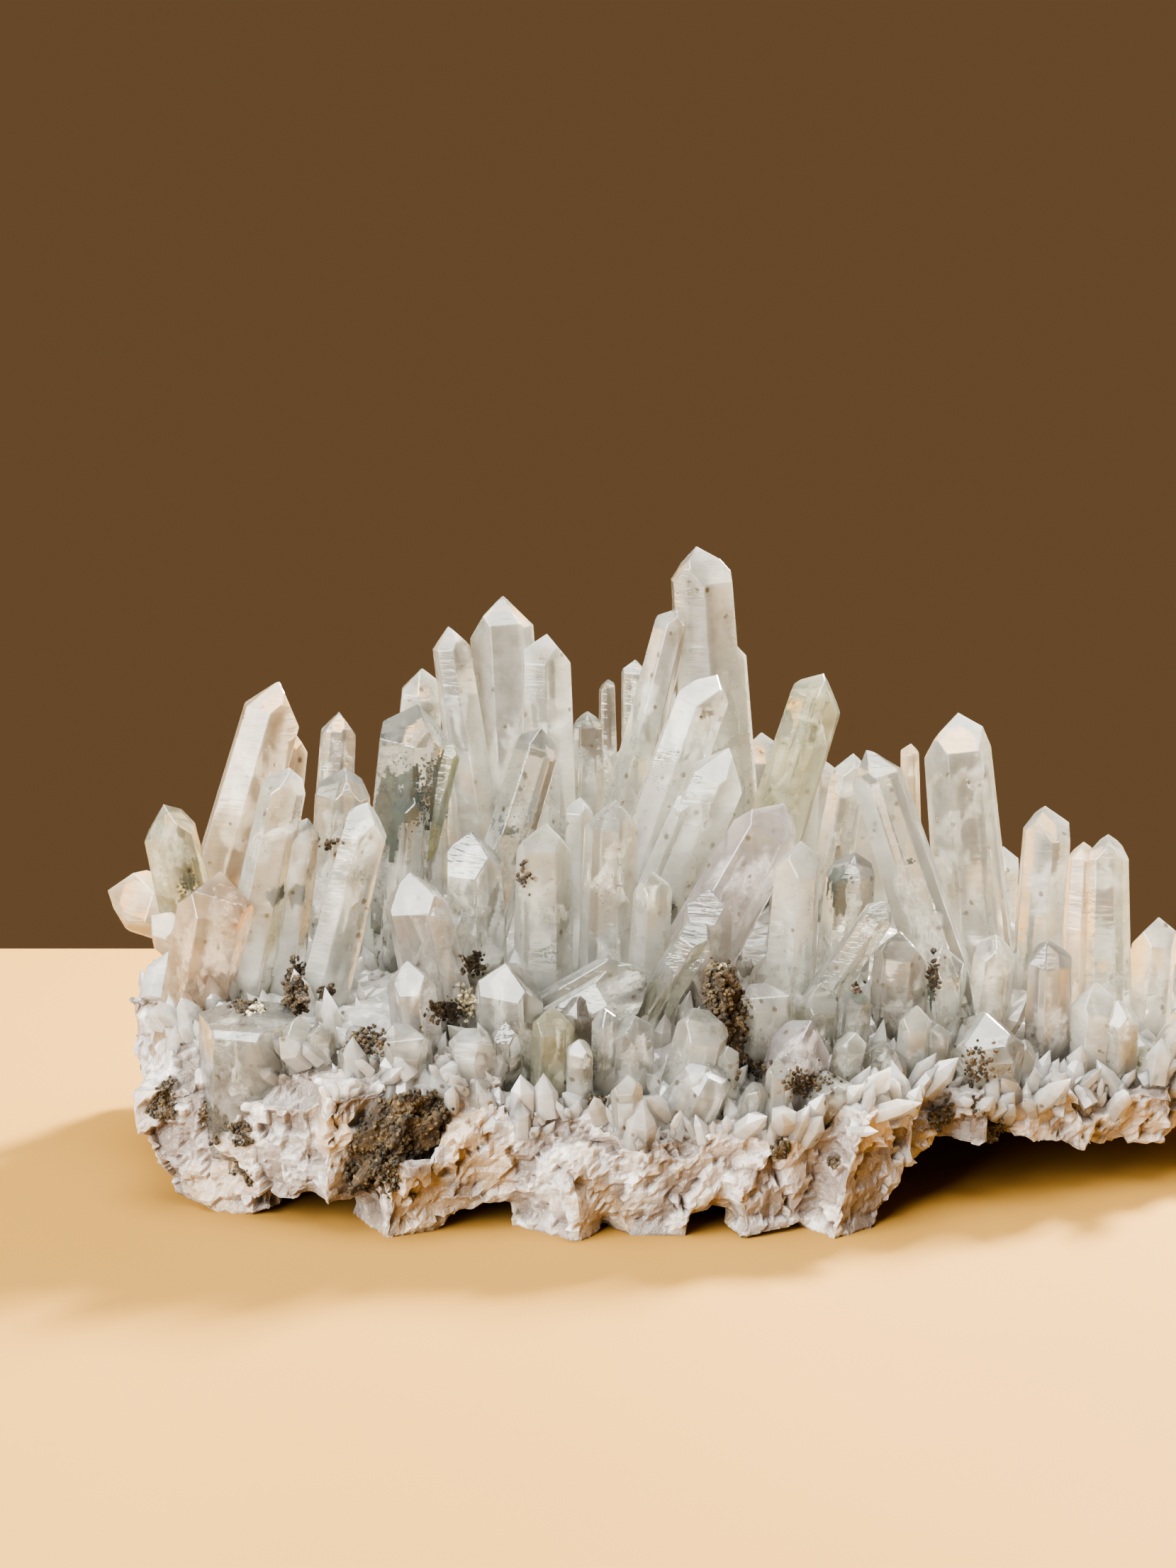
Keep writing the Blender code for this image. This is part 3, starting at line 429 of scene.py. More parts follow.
def side_growths():
    """Lower, thinner points grown parallel on the flank of each wide one."""
    growths = []
    for name, foot, tip, width, end, finish in POINTS:
        if width < WIDE_POINT or end in ("block", "flat"):
            continue
        draw = random.Random(name + " side")
        foot, tip = Vector(foot), Vector(tip)
        turned = (tip - foot).to_track_quat("Z", "Y").to_matrix()
        angle = draw.uniform(0, math.tau)
        aside = turned @ Vector((math.cos(angle), math.sin(angle), 0)) * width * 0.36
        top = foot.lerp(tip, draw.uniform(0.6, 0.85))
        size = width * draw.uniform(0.45, 0.6)
        growths.append((name + "_side", foot + aside, top + aside, size, "sharp", finish))
    return growths


def back_points():
    """The points that the front ones hide: a jittered grid over the back half and the right end."""
    draw = random.Random(41)
    found = []
    for row, y in enumerate((8, 16, 22.5, 29)):
        for column in range(-7, 9):
            x = column * 7.8 + (row % 2) * 3.9 + draw.uniform(-1.6, 1.6)
            fy = y + draw.uniform(-1.5, 1.5)
            if (x / 60) ** 2 + (fy / 33) ** 2 > 0.92 or (row == 0 and -44 < x < 42):
                continue
            if any(math.hypot(x - point[1][0], fy - point[1][1]) < 4.2 for point in POINTS):
                continue
            crust = float(plate_level(CRUST_LEVELS, x, fy)[0])
            lean_x = x * 0.08 + draw.uniform(-2.5, 3.5)
            lean_y = (fy - 8) * 0.22 + draw.uniform(-1.5, 1.5)
            skyline = np.interp(x + lean_x, *zip(*SKYLINE))
            highest = skyline - 0.25 * (fy + lean_y - 12) - 2
            rise = min(highest - crust, draw.uniform(12, 25) * (1 - 0.35 * abs(x) / 60))
            end = draw.choice(("blunt", "sharp", "simple", "simple"))
            foot = (x, fy, crust - 4)
            tip = (x + lean_x, min(fy + lean_y, DEEPEST_TIP), crust + max(5, rise))
            found.append((f"back_{row}_{column}", foot, tip, draw.uniform(4.6, 8), end, "milky"))
    return found


def rim_points():
    """Small points round the rim, leaning outwards."""
    draw = random.Random(7)
    found = []
    for k, p in enumerate(outline_stations(RIM_POINTS)):
        share = draw.uniform(0.86, 0.92)
        x, y = p * share
        crust = float(plate_level(CRUST_LEVELS, x, y)[0])
        out = p / np.linalg.norm(p) * draw.uniform(0.5, 3)
        foot = (x, y, crust - 3)
        tip = (x + out[0], y + out[1], crust + draw.uniform(2.5, 6.5))
        found.append((f"rim_{k}", foot, tip, draw.uniform(2.6, 4.4), "simple", "milky"))
    return found


def joined(body, others, operation="UNION"):
    """Joins the others to a body, or cuts them from it, and removes them."""
    group = bpy.data.collections.new("operands")
    bpy.context.scene.collection.children.link(group)
    for other in others:
        group.objects.link(other)
    change = body.modifiers.new("join", "BOOLEAN")
    change.operation = operation
    change.solver = "MANIFOLD"
    change.operand_type = "COLLECTION"
    change.collection = group
    seen = bpy.context.evaluated_depsgraph_get()
    made = bpy.data.meshes.new_from_object(body.evaluated_get(seen))
    body.modifiers.clear()
    old = body.data
    body.data = made
    bpy.data.meshes.remove(old)
    for other in others:
        spent = other.data
        bpy.data.objects.remove(other)
        bpy.data.meshes.remove(spent)
    bpy.data.collections.remove(group)
    return body


def ring_faces(rows, columns):
    """Four-cornered faces between rings of points, closed round each ring."""
    r, c = np.meshgrid(np.arange(rows - 1), np.arange(columns), indexing="ij")
    n = (c + 1) % columns
    quads = np.stack([r * columns + c, (r + 1) * columns + c, (r + 1) * columns + n, r * columns + n], -1)
    return quads.reshape(-1, 4)


def ringed_object(name, rings, top, bottom, material_index=0):
    """Closed body: rings of points from the top middle down the outside to the bottom middle."""
    rows, columns = rings.shape[:2]
    quads = ring_faces(rows, columns)
    c = np.arange(columns)
    n = (c + 1) % columns
    first, last = rows * columns, rows * columns + 1
    cap = np.stack([np.full(columns, first), c, n], 1)
    base = (rows - 1) * columns
    foot = np.stack([np.full(columns, last), base + n, base + c], 1)
    triangles = np.vstack([quads[:, [0, 1, 2]], quads[:, [0, 2, 3]], cap, foot])
    points = np.vstack([rings.reshape(-1, 3), [top], [bottom]])
    return new_object(name, points, triangles, material_index)


def drusy_crust():
    """The layer under the points: the stated levels with broken relief, sinking into the plate at its edge."""
    stations = outline_stations(300)
    inner, outer, sinks = CRUST_EDGE
    rings = []
    for share in np.concatenate([np.linspace(0.04, 0.7, 34), np.linspace(0.715, outer, 22)]):
        x, y = (stations * share).T
        level = plate_level(CRUST_LEVELS, x, y) - sinks * max(0.0, (share - inner) / (outer - inner))
        points = np.stack([x, y, level], 1)
        relief = 0.7 * layered_noise(points, 3.5, 4) + 0.5 * broken_relief(points, 1.8, 6)
        rings.append(np.stack([x, y, level + relief], 1))
    x, y = (stations * 0.88).T
    rings.append(np.stack([x, y, plate_level(CRUST_LEVELS, x, y) - CRUST_DEPTH], 1))
    middle = float(plate_level(CRUST_LEVELS, 0, 0)[0])
    top, bottom = (0, 0, middle), (0, 0, middle - CRUST_DEPTH)
    return ringed_object("crust", np.array(rings), top, bottom, FINISHES.index("crust"))


def quartz_points():
    """All the quartz points and the drusy layer joined into one body."""
    body = drusy_crust()
    bodies = []
    for name, foot, tip, width, end, finish in POINTS + side_growths() + back_points() + rim_points():
        normals, offsets = crystal_planes(name, foot, tip, width, end)
        normals, offsets = chamfered(normals, offsets, CHAMFER)
        corners, _ = plane_corners(normals, offsets)
        points, faces = hull_mesh(corners)
        bodies.append(new_object("point", points, faces, FINISHES.index(finish)))
    for obj in [body] + bodies:
        for finish in FINISHES:
            obj.data.materials.append(MATERIALS[finish])
    joined(body, bodies)
    body.name = "quartz_points"
    return body


def merged_copy(node, name):
    """A copy of a fixed node's mesh with its loose triangles merged."""
    copy = bpy.data.objects.new(name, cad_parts[node].data.copy())
    bpy.context.collection.objects.link(copy)
    copy.data.materials.clear()
    bm = bmesh.new()
    bm.from_mesh(copy.data)
    bmesh.ops.remove_doubles(bm, verts=bm.verts, dist=1e-6)
    bm.to_mesh(copy.data)
    bm.free()
    return copy


def mesh_arrays(obj):
    """Points in millimetres and outward normals of a mesh object."""
    mesh = obj.data
    points = np.empty(len(mesh.vertices) * 3, np.float32)
    normals = np.empty(len(mesh.vertices) * 3, np.float32)
    mesh.vertices.foreach_get("co", points)
    mesh.vertex_normals.foreach_get("vector", normals)
    return points.reshape(-1, 3).astype(float) / METRES_PER_MM, normals.reshape(-1, 3).astype(float)


def set_points(obj, points):
    obj.data.vertices.foreach_set("co", (points * METRES_PER_MM).astype(np.float32).ravel())
    obj.data.update()


def sights(px, py):
    """Eye and directions of the lines of sight through pixels of the photograph."""
    look = np.array([0, math.cos(CAMERA_ELEVATION), -math.sin(CAMERA_ELEVATION)])
    upward = np.array([0, math.sin(CAMERA_ELEVATION), math.cos(CAMERA_ELEVATION)])
    eye = np.array(CAMERA_TARGET, float) - look * CAMERA_DISTANCE
    px, py = np.ravel(px), np.ravel(py)
    rays = look * CAMERA_DISTANCE + upward * ((PHOTO_SIZE[1] / 2 - py) / PHOTO_SCALE)[:, None]
    rays[:, 0] += (px - PHOTO_SIZE[0] / 2) / PHOTO_SCALE
    return eye, rays / np.linalg.norm(rays, axis=1)[:, None]


def seen_place(obj, px, py):
    """Where the line of sight through a pixel first meets the object, in millimetres, or None."""
    eye, rays = sights(px, py)
    hit, place, _, _ = obj.ray_cast(Vector(eye) * METRES_PER_MM, Vector(rays[0]))
    return np.array(place) / METRES_PER_MM if hit else None


def stain_mask(obj, points, kind):
    """From 0 to 1 near the places that carry this stain, with a ragged edge from layered noise."""
    mask = np.zeros(len(points))
    ragged = layered_noise(points, 2.2, 31, 4)
    for px, py, radius, stain in STAINS:
        place = seen_place(obj, px, py) if stain == kind else None
        if place is None:
            continue
        away = np.linalg.norm((points - place) * (1, 0.7, 1), axis=1) / radius
        mask = np.maximum(mask, np.clip((1.05 - away + 0.55 * ragged) * 2.2, 0, 1))
    return mask


def set_attribute(obj, name, values):
    layer = obj.data.attributes.new(name, "FLOAT", "POINT")
    layer.data.foreach_set("value", values.astype(np.float32))


def broken_plate():
    """The plate remeshed finely; each point sinks along its normal by the relief of broken faces and grains."""
    plate = merged_copy("matrix", "broken_plate")
    change = plate.modifiers.new("remesh", "REMESH")
    change.mode = "VOXEL"
    change.voxel_size = 0.51 * METRES_PER_MM
    seen = bpy.context.evaluated_depsgraph_get()
    made = bpy.data.meshes.new_from_object(plate.evaluated_get(seen))
    plate.modifiers.clear()
    plate.data = made
    points, normals = mesh_arrays(plate)
    low, high = points.min(0), points.max(0)
    faces = broken_relief(points + 1.2 * layered_noise(points, 4, 50)[:, None], 4.2, 40)
    chips = broken_relief(points, 1.7, 43)
    sugar = layered_noise(points, 0.9, 47, 2)
    relief = 1.0 * faces + 0.4 * chips + 0.1 * sugar - 0.55
    free = np.clip((points[:, 2] - 0.1) / 1.2, 0, 1)
    points = points + normals * (np.clip(relief, -2.0, 0.6) * free)[:, None]
    set_points(plate, np.clip(points, low, high))
    points, normals = mesh_arrays(plate)
    set_attribute(plate, "earth", stain_mask(plate, points, "earth"))
    wash = 0.5 * np.clip((10 - points[:, 2]) / 7, 0, 1) * np.clip(0.55 + layered_noise(points, 5, 53, 3), 0, 1)
    set_attribute(plate, "rust", np.maximum(stain_mask(plate, points, "rust"), wash))
    # Painted shade: the deeper the relief sinks, the darker the plate's colour is made there.
    hollow = np.clip(-relief * 0.95, 0, 1)
    set_attribute(plate, "hollow", hollow)
    return plate


def random_turns(rng, count):
    """Random rotation matrices, from random quaternions."""
    q = rng.normal(size=(count, 4))
    w, x, y, z = (q / np.linalg.norm(q, axis=1)[:, None]).T
    rows = [
        [1 - 2 * (y * y + z * z), 2 * (x * y - w * z), 2 * (x * z + w * y)],
        [2 * (x * y + w * z), 1 - 2 * (x * x + z * z), 2 * (y * z - w * x)],
        [2 * (x * z - w * y), 2 * (y * z + w * x), 1 - 2 * (x * x + y * y)],
    ]
    return np.array(rows).transpose(2, 0, 1)


def grain_shape():
    """Points and faces of an icosahedron of radius 1."""
    bm = bmesh.new()
    bmesh.ops.create_icosphere(bm, subdivisions=1, radius=1)
    points = np.array([v.co for v in bm.verts])
    faces = np.array([[v.index for v in f.verts] for f in bm.faces])
    bm.free()
    return points, faces


def grains(name, places, sizes, seed, flatness=0.7):
    """A small uneven chip of its own size and turn at each place, all in one mesh."""
    rng = np.random.default_rng(seed)
    shape, faces = grain_shape()
    count = len(places)
    stretch = rng.uniform(flatness, 1.25, (count, 1, 3))
    bumps = rng.uniform(0.75, 1.1, (count, len(shape), 1))
    local = shape[None] * stretch * bumps * np.asarray(sizes)[:, None, None]
    points = np.einsum("nij,nkj->nki", random_turns(rng, count), local) + np.asarray(places)[:, None]
    every = faces[None] + np.arange(count)[:, None, None] * len(shape)
    return new_object(name, points.reshape(-1, 3), every.reshape(-1, 3))


def sights_through(name, px, py):
    """The eye, the rays through pixels, and how far along them each ray enters and leaves the named point."""
    _, foot, tip, width, end, _ = {row[0]: row for row in POINTS}[name]
    normals, offsets = crystal_planes(name, foot, tip, width, end)
    eye, rays = sights(px, py)
    slope = rays @ normals.T
    reach = (offsets - normals @ eye) / slope
    enter = np.where(slope < 0, reach, -np.inf).max(1)
    leave = np.where(slope > 0, reach, np.inf).min(1)
    return eye, rays, enter, leave


def inside_crystals():
    """Chlorite grains just below the faces of the points, where the lines of sight enter each one."""
    rng = np.random.default_rng(12)
    places, sizes = [], []
    for name, px, py, wide, high, count, size, depth in INCLUSIONS:
        away = rng.normal(size=(count, 2)) * 0.5 * (wide, high) * PHOTO_SCALE
        eye, rays, enter, leave = sights_through(name, px + away[:, 0], py - away[:, 1])
        deeper = np.minimum(enter + size + depth * rng.uniform(0.3, 1.8, count), leave - size - 0.3)
        inside = leave - enter > 1.6
        places.append((eye + rays * deeper[:, None])[inside])
        sizes.append((size * rng.uniform(0.4, 1.0, count))[inside])
    return grains("chlorite_inside", np.vstack(places), np.concatenate(sizes), 13)


def sheet_object(name, points, faces, fade):
    """A thin sheet with a point attribute that says how far it has faded towards its edge."""
    sheet = new_object(name, np.asarray(points), np.asarray(faces))
    set_attribute(sheet, "fade", np.asarray(fade))
    solid = sheet.modifiers.new("thickness", "SOLIDIFY")
    solid.thickness = SHEET_THICKNESS * METRES_PER_MM
    solid.offset = -1
    return sheet


def clouds_inside(name, rows):
    """Clouds inside the points: over an ellipse of the photograph's frame, a sheet at a set depth below the faces
    that the lines of sight enter. It is kept where one, less the distance from the middle, plus noise drawn out
    along the points, is above zero."""
    points, faces, fade = [], [], []
    total, side = 0, 40
    grid = np.linspace(-1.7, 1.7, side)
    dx, dz = (g.ravel() for g in np.meshgrid(grid, grid))
    cell = np.arange(side * side).reshape(side, side)
    quads = np.stack([cell[:-1, :-1], cell[:-1, 1:], cell[1:, 1:], cell[1:, :-1]], -1).reshape(-1, 4)
    for point, px, py, wide, high, _, _, depth in rows:
        eye, rays, enter, leave = sights_through(point, px + dx * wide * PHOTO_SCALE, py - dz * high * PHOTO_SCALE)
        through = leave - enter > 1.5
        depths = np.minimum(depth, (leave - enter) / 2)
        places = eye + rays * np.where(through, enter + depths, 0)[:, None]
        noise = layered_noise(places * (1, 1, 0.35), 1.6, 91, 4)
        mask = np.where(through, 1.12 - np.hypot(dx, dz) + 1.4 * noise, -1)
        kept = quads[(mask[quads] > 0).all(1)]
        used, kept = np.unique(kept, return_inverse=True)
        points.append(places[used])
        faces.append(kept.reshape(-1, 4) + total)
        fade.append(np.clip(mask[used] * 1.6, 0, 1))
        total += len(used)
    return sheet_object(name, np.vstack(points), np.vstack(faces), np.concatenate(fade))


def healed_cracks():
    """Veils of healed cracks inside the points: bent discs drawn out along each point, of a polar grid whose
    spokes are cut short where they would reach the point's faces."""
    rng = np.random.default_rng(71)
    rows, columns = 5, 14
    share, turn = (g.ravel() for g in np.meshgrid(
        np.linspace(0.08, 1, rows), np.arange(columns) * 2 * math.pi / columns, indexing="ij"))
    cell = np.arange(rows * columns).reshape(rows, columns)
    beside = np.roll(cell, -1, 1)
    quads = np.stack([cell[:-1], cell[1:], beside[1:], beside[:-1]], -1).reshape(-1, 4)
    points, faces, fade = [], [], []
    for name, foot, tip, width, end, finish in POINTS:
        highest = 0.5 if name in CLEAR_INSIDE else 0.86
        normals, offsets = crystal_planes(name, foot, tip, width, end)
        foot, tip = np.array(foot, float), np.array(tip, float)
        axis = (tip - foot) / np.linalg.norm(tip - foot)
        for _ in range(int(rng.integers(2, 4) + width // 3)):
            middle = foot + (tip - foot) * rng.uniform(0.3, highest) + rng.normal(size=3) * 0.12 * width
            if (normals @ middle - offsets).max() > -0.6:
                continue
            tilt = rng.normal(size=3)
            along = axis + 0.35 * tilt
            across = np.cross(along, rng.normal(size=3))
            across /= np.linalg.norm(across)
            away = np.cross(across, along)
            long, wide = width * rng.uniform(0.2, 0.75), width * rng.uniform(0.12, 0.34)
            ragged = 1 + 0.25 * np.sin(turn * 3 + rng.uniform(0, 6)) + 0.2 * np.sin(turn * 5 + rng.uniform(0, 6))
            spoke = np.outer(share * ragged * np.sin(turn), along) * long
            spoke += np.outer(share * ragged * np.cos(turn), across) * wide
            spoke += np.outer(share ** 2 * np.sin(turn * 2 + rng.uniform(0, 6)), away) * 0.12 * width
            reach = (spoke @ normals.T) / np.maximum(offsets - 0.4 - normals @ middle, 0.01)
            points.append(middle + spoke / np.maximum(reach.max(1), 1)[:, None])
            faces.append(quads + len(faces) * len(share))
            fade.append(1 - share ** 2)
    return sheet_object("healed_cracks", np.vstack(points), np.vstack(faces), np.concatenate(fade))


def lodged_grains(name, body, kind, seed):
    """Grains lodged between the points, where the lines of sight around each stated place first meet them."""
    rng = np.random.default_rng(seed)
    places = []
    for px, py, wide, high, count, sort in LODGED:
        if sort == kind:
            away = rng.normal(size=(count, 2)) * 0.5 * (wide, high) * PHOTO_SCALE
            places += [seen_place(body, px + x, py - z) for x, z in away]
    places = np.array([place for place in places if place is not None])
    places += rng.normal(size=places.shape) * 0.12
    return grains(name, np.clip(places, CAD_LOW + 0.6, CAD_HIGH - 0.6), rng.uniform(0.14, 0.36, len(places)), seed)


def point_shape():
    """A small six-sided point: foot ring, shoulder ring and tip, closed at its foot."""
    angle = np.arange(6) * math.pi / 3
    ring = np.stack([np.cos(angle), np.sin(angle)], 1) * 0.5
    points = np.zeros((13, 3))
    points[:6, :2] = ring
    points[6:12, :2] = ring * 0.92
    points[6:12, 2] = 0.61
    points[12, 2] = 1.0
    c = np.arange(6)
    n = (c + 1) % 6
    sides = np.vstack([np.stack([c, n, n + 6], 1), np.stack([c, n + 6, c + 6], 1)])
    top = np.stack([c + 6, n + 6, np.full(6, 12)], 1)
    foot = np.array([[0, 5, 4], [0, 4, 3], [0, 3, 2], [0, 2, 1]])
    return points, np.vstack([sides, top, foot])


def small_points(name, places, axes, widths, lengths, seed):
    """A small point at each place, along its own axis and turned about it, with an uneven end."""
    rng = np.random.default_rng(seed)
    shape, faces = point_shape()
    count = len(places)
    local = np.repeat(shape[None], count, 0)
    local[:, 6:12, 2] += rng.uniform(-0.1, 0.06, (count, 6))
    local[:, 12, :2] += rng.uniform(-0.16, 0.16, (count, 2))
    local[:, :, :2] *= (widths * rng.uniform(0.75, 1.1, count))[:, None, None]
    local[:, :, 0] *= rng.uniform(0.7, 1.1, count)[:, None]
    local[:, :, 2] *= lengths[:, None]
    spin = rng.uniform(0, 2 * math.pi, count)
    w = axes / np.linalg.norm(axes, axis=1)[:, None]
    helper = np.stack([np.cos(spin), np.sin(spin), np.full(count, 0.3)], 1)
    u = np.cross(helper, w)
    u /= np.linalg.norm(u, axis=1)[:, None]
    v = np.cross(w, u)
    turn = np.stack([u, v, w], 2)
    points = np.einsum("nij,nkj->nki", turn, local) + places[:, None]
    every = faces[None] + np.arange(count)[:, None, None] * len(shape)
    return new_object(name, points.reshape(-1, 3), every.reshape(-1, 3))


def sugary_points():
    """The fine points that cover the drusy layer between the large ones."""
    rng = np.random.default_rng(21)
    count = 900
    stations = outline_stations(600)
    places = stations[rng.integers(0, 600, count)] * np.sqrt(rng.uniform(0.02, 0.93, count))[:, None]
    level = plate_level(CRUST_LEVELS, places[:, 0], places[:, 1])
    feet = np.column_stack([places, level - 0.9])
    out = np.column_stack([places / np.linalg.norm(places, axis=1)[:, None], np.zeros(count)])
    edge = np.clip(np.linalg.norm(places / (62, 34), axis=1), 0, 1)[:, None] ** 3
    axes = np.array([0, 0, 1.0]) + out * 0.8 * edge + rng.normal(size=(count, 3)) * (0.32, 0.32, 0.05)
    widths = 0.9 + 2.6 * rng.uniform(0, 1, count) ** 2
    lengths = 0.9 + widths * rng.uniform(0.9, 1.9, count)
    return small_points("sugary_points", feet, axes, widths, lengths, 22)


def rim_crystals(plate):
    """Small broken points on the upper faces of the plate's rim, between its normal and upright."""
    rng = np.random.default_rng(33)
    count = RIM_CRYSTALS
    points, normals = mesh_arrays(plate)
    share = np.linalg.norm(points[:, :2] / (62, 34), axis=1)
    level = plate_level(CRUST_LEVELS, points[:, 0], points[:, 1])
    near = (points[:, 2] > level - 3.2) & (normals[:, 2] > -0.1) & (share > 0.8)
    picked = rng.choice(np.flatnonzero(near), count, replace=False)
    feet = points[picked] - normals[picked] * 0.8
    axes = normals[picked] * 0.8 + (0, 0, 0.7) + rng.normal(size=(count, 3)) * 0.35
    widths = 0.8 + 3.0 * rng.uniform(0, 1, count) ** 2
    lengths = 1.0 + widths * rng.uniform(0.9, 1.6, count)
    tips = feet + axes / np.linalg.norm(axes, axis=1)[:, None] * lengths[:, None]
    low, high = CAD_LOW + 1.2, CAD_HIGH - 1.2
    inside = ((tips > low) & (tips < high)).all(1)
    return small_points("rim_crystals", feet[inside], axes[inside], widths[inside], lengths[inside], 34)


def stain_grains(plate):
    """Chlorite grains stuck on the plate where it is stained."""
    rng = np.random.default_rng(35)
    points, normals = mesh_arrays(plate)
    mask = np.empty(len(points), np.float32)
    plate.data.attributes["earth"].data.foreach_get("value", mask)
    picked = rng.choice(np.flatnonzero(mask > 0.6), 2400)
    places = points[picked] + normals[picked] * 0.03 + rng.normal(size=(2400, 3)) * 0.12
    places[:, 2] = np.maximum(places[:, 2], 0.6)
    places = np.clip(places, CAD_LOW + 0.5, CAD_HIGH - 0.5)
    return grains("stain_grains", places, rng.uniform(0.1, 0.3, len(places)), 36)


def earth_lump(node, centre, size, lean, seed):
    """A crumbly lump: a grid of two angles whose radius varies by layered noise, leaning, studded with grains."""
    rows, columns = 40, 56
    polar = (np.arange(rows) + 0.5) / rows * math.pi
    around = np.arange(columns) * 2 * math.pi / columns
    p, a = np.meshgrid(polar, around, indexing="ij")
    direction = np.stack([np.sin(p) * np.cos(a), np.sin(p) * np.sin(a), np.cos(p)], -1)
    centre, half = np.array(centre, float), np.array(size, float) / 2
    radius = 0.8 + 0.5 * layered_noise(direction.reshape(-1, 3) * 3, 1.2, seed, 4).reshape(rows, columns)
    rings = centre + direction * half * radius[..., None]
    rings[..., 0] += lean * (rings[..., 2] - centre[2])
    body = ringed_object(node + "_earth", rings, rings[0].mean(0), rings[-1].mean(0))
    rng = np.random.default_rng(seed)
    count = int(16 * half.sum() ** 2)
    picked = rings.reshape(-1, 3)[rng.integers(0, rows * columns, count)]
    studs = grains(node + "_grains", centre + (picked - centre) * 0.98, rng.uniform(0.15, 0.42, count), seed)
    return body, studs


def inputs_of(node, **values):
    """Sets a node's inputs by name, with spaces written as underscores."""
    for key, value in values.items():
        node.inputs[key.replace("_", " ")].default_value = value


def blend(nodes, links, mask, below, above):
    """Mixes two colours (sockets or plain values) by a mask and gives the mixed colour's socket."""
    mix = nodes.new("ShaderNodeMix")
    mix.data_type = "RGBA"
    links.new(mask, mix.inputs["Factor"])
    for socket, colour in ((mix.inputs[6], below), (mix.inputs[7], above)):
        if isinstance(colour, tuple):
            socket.default_value = (*colour, 1)
        else:
            links.new(colour, socket)
    return mix.outputs[2]


def ranged(nodes, links, value, low, high, to_low=0.0, to_high=1.0):
    """Stretches values between low and high to the given range, and holds them at its ends."""
    node = nodes.new("ShaderNodeMapRange")
    inputs_of(node, From_Min=low, From_Max=high, To_Min=to_low, To_Max=to_high)
    links.new(value, node.inputs["Value"])
    return node.outputs["Result"]


def combine(nodes, links, operation, first, second):
    """One arithmetic step on two values, each a socket or a number."""
    node = nodes.new("ShaderNodeMath")
    node.operation = operation
    for socket, value in zip(node.inputs, (first, second)):
        if isinstance(value, (int, float)):
            socket.default_value = value
        else:
            links.new(value, socket)
    return node.outputs[0]


def noise_value(nodes, links, vector, scale, detail, roughness):
    node = nodes.new("ShaderNodeTexNoise")
    inputs_of(node, Scale=scale, Detail=detail, Roughness=roughness)
    links.new(vector, node.inputs["Vector"])
    return node.outputs["Fac"]


def effect_group(name, inputs, outputs):
    """An empty node group with a vector input, the named number inputs and the named number outputs."""
    group = bpy.data.node_groups.new(name, "ShaderNodeTree")
    group.interface.new_socket("Vector", in_out="INPUT", socket_type="NodeSocketVector")
    for label, value in inputs.items():
        group.interface.new_socket(label, in_out="INPUT", socket_type="NodeSocketFloat").default_value = value
    for label in outputs:
        group.interface.new_socket(label, in_out="OUTPUT", socket_type="NodeSocketFloat")
    return group, group.nodes.new("NodeGroupInput").outputs, group.nodes.new("NodeGroupOutput").inputs


def clouds_group():
    """Milky clouds drawn out along the points, finer haze, and soft level streaks for the relief."""
    group, given, result = effect_group("quartz_clouds", {"Scale": 150.0}, ("Cloud", "Haze", "Relief"))
    nodes, links = group.nodes, group.links
    drawn = nodes.new("ShaderNodeMapping")
    drawn.inputs["Scale"].default_value = (1, 1, 0.42)
    links.new(given["Vector"], drawn.inputs["Vector"])
    large = nodes.new("ShaderNodeTexNoise")
    inputs_of(large, Detail=3.0, Roughness=0.6)
    links.new(drawn.outputs["Vector"], large.inputs["Vector"])
    links.new(given["Scale"], large.inputs["Scale"])
    links.new(ranged(nodes, links, large.outputs["Fac"], 0.36, 0.64), result["Cloud"])
    haze = noise_value(nodes, links, given["Vector"], 520.0, 3.0, 0.7)
    links.new(ranged(nodes, links, haze, 0.38, 0.66), result["Haze"])
    level = nodes.new("ShaderNodeMapping")
    level.inputs["Scale"].default_value = (0.22, 0.22, 1)
    links.new(given["Vector"], level.inputs["Vector"])
    links.new(noise_value(nodes, links, level.outputs["Vector"], 1400.0, 3.0, 0.6), result["Relief"])
    return group


def specks_group():
    """Scattered round specks: near the centres of fine cells, thinned out by a wider noise."""
    group, given, result = effect_group("fine_specks", {"Amount": 0.5}, ("Speck",))
    nodes, links = group.nodes, group.links
    cells = nodes.new("ShaderNodeTexVoronoi")
    cells.inputs["Scale"].default_value = 520.0
    links.new(given["Vector"], cells.inputs["Vector"])
    near = ranged(nodes, links, cells.outputs["Distance"], 0.2, 0.12)
    patch = noise_value(nodes, links, given["Vector"], 260.0, 1.0, 0.6)
    level = combine(nodes, links, "SUBTRACT", 1.1, given["Amount"])
    level = combine(nodes, links, "GREATER_THAN", patch, level)
    links.new(combine(nodes, links, "MULTIPLY", near, level), result["Speck"])
    return group


def placed(nodes, links, group, vector, **values):
    """A group node on the given vector, with its own values."""
    node = nodes.new("ShaderNodeGroup")
    node.node_tree = group
    links.new(vector, node.inputs["Vector"])
    inputs_of(node, **values)
    return node.outputs


def new_material(name):
    """A node material: its nodes, links, Principled shader and object coordinates."""
    material = bpy.data.materials.new(name)
    material.use_nodes = True
    nodes, links = material.node_tree.nodes, material.node_tree.links
    return material, nodes, links, nodes["Principled BSDF"], nodes.new("ShaderNodeTexCoord").outputs["Object"]


def bumped(nodes, links, shader, height, strength, distance):
    bump = nodes.new("ShaderNodeBump")
    inputs_of(bump, Strength=strength, Distance=distance)
    links.new(height, bump.inputs["Height"])
    links.new(bump.outputs["Normal"], shader.inputs["Normal"])


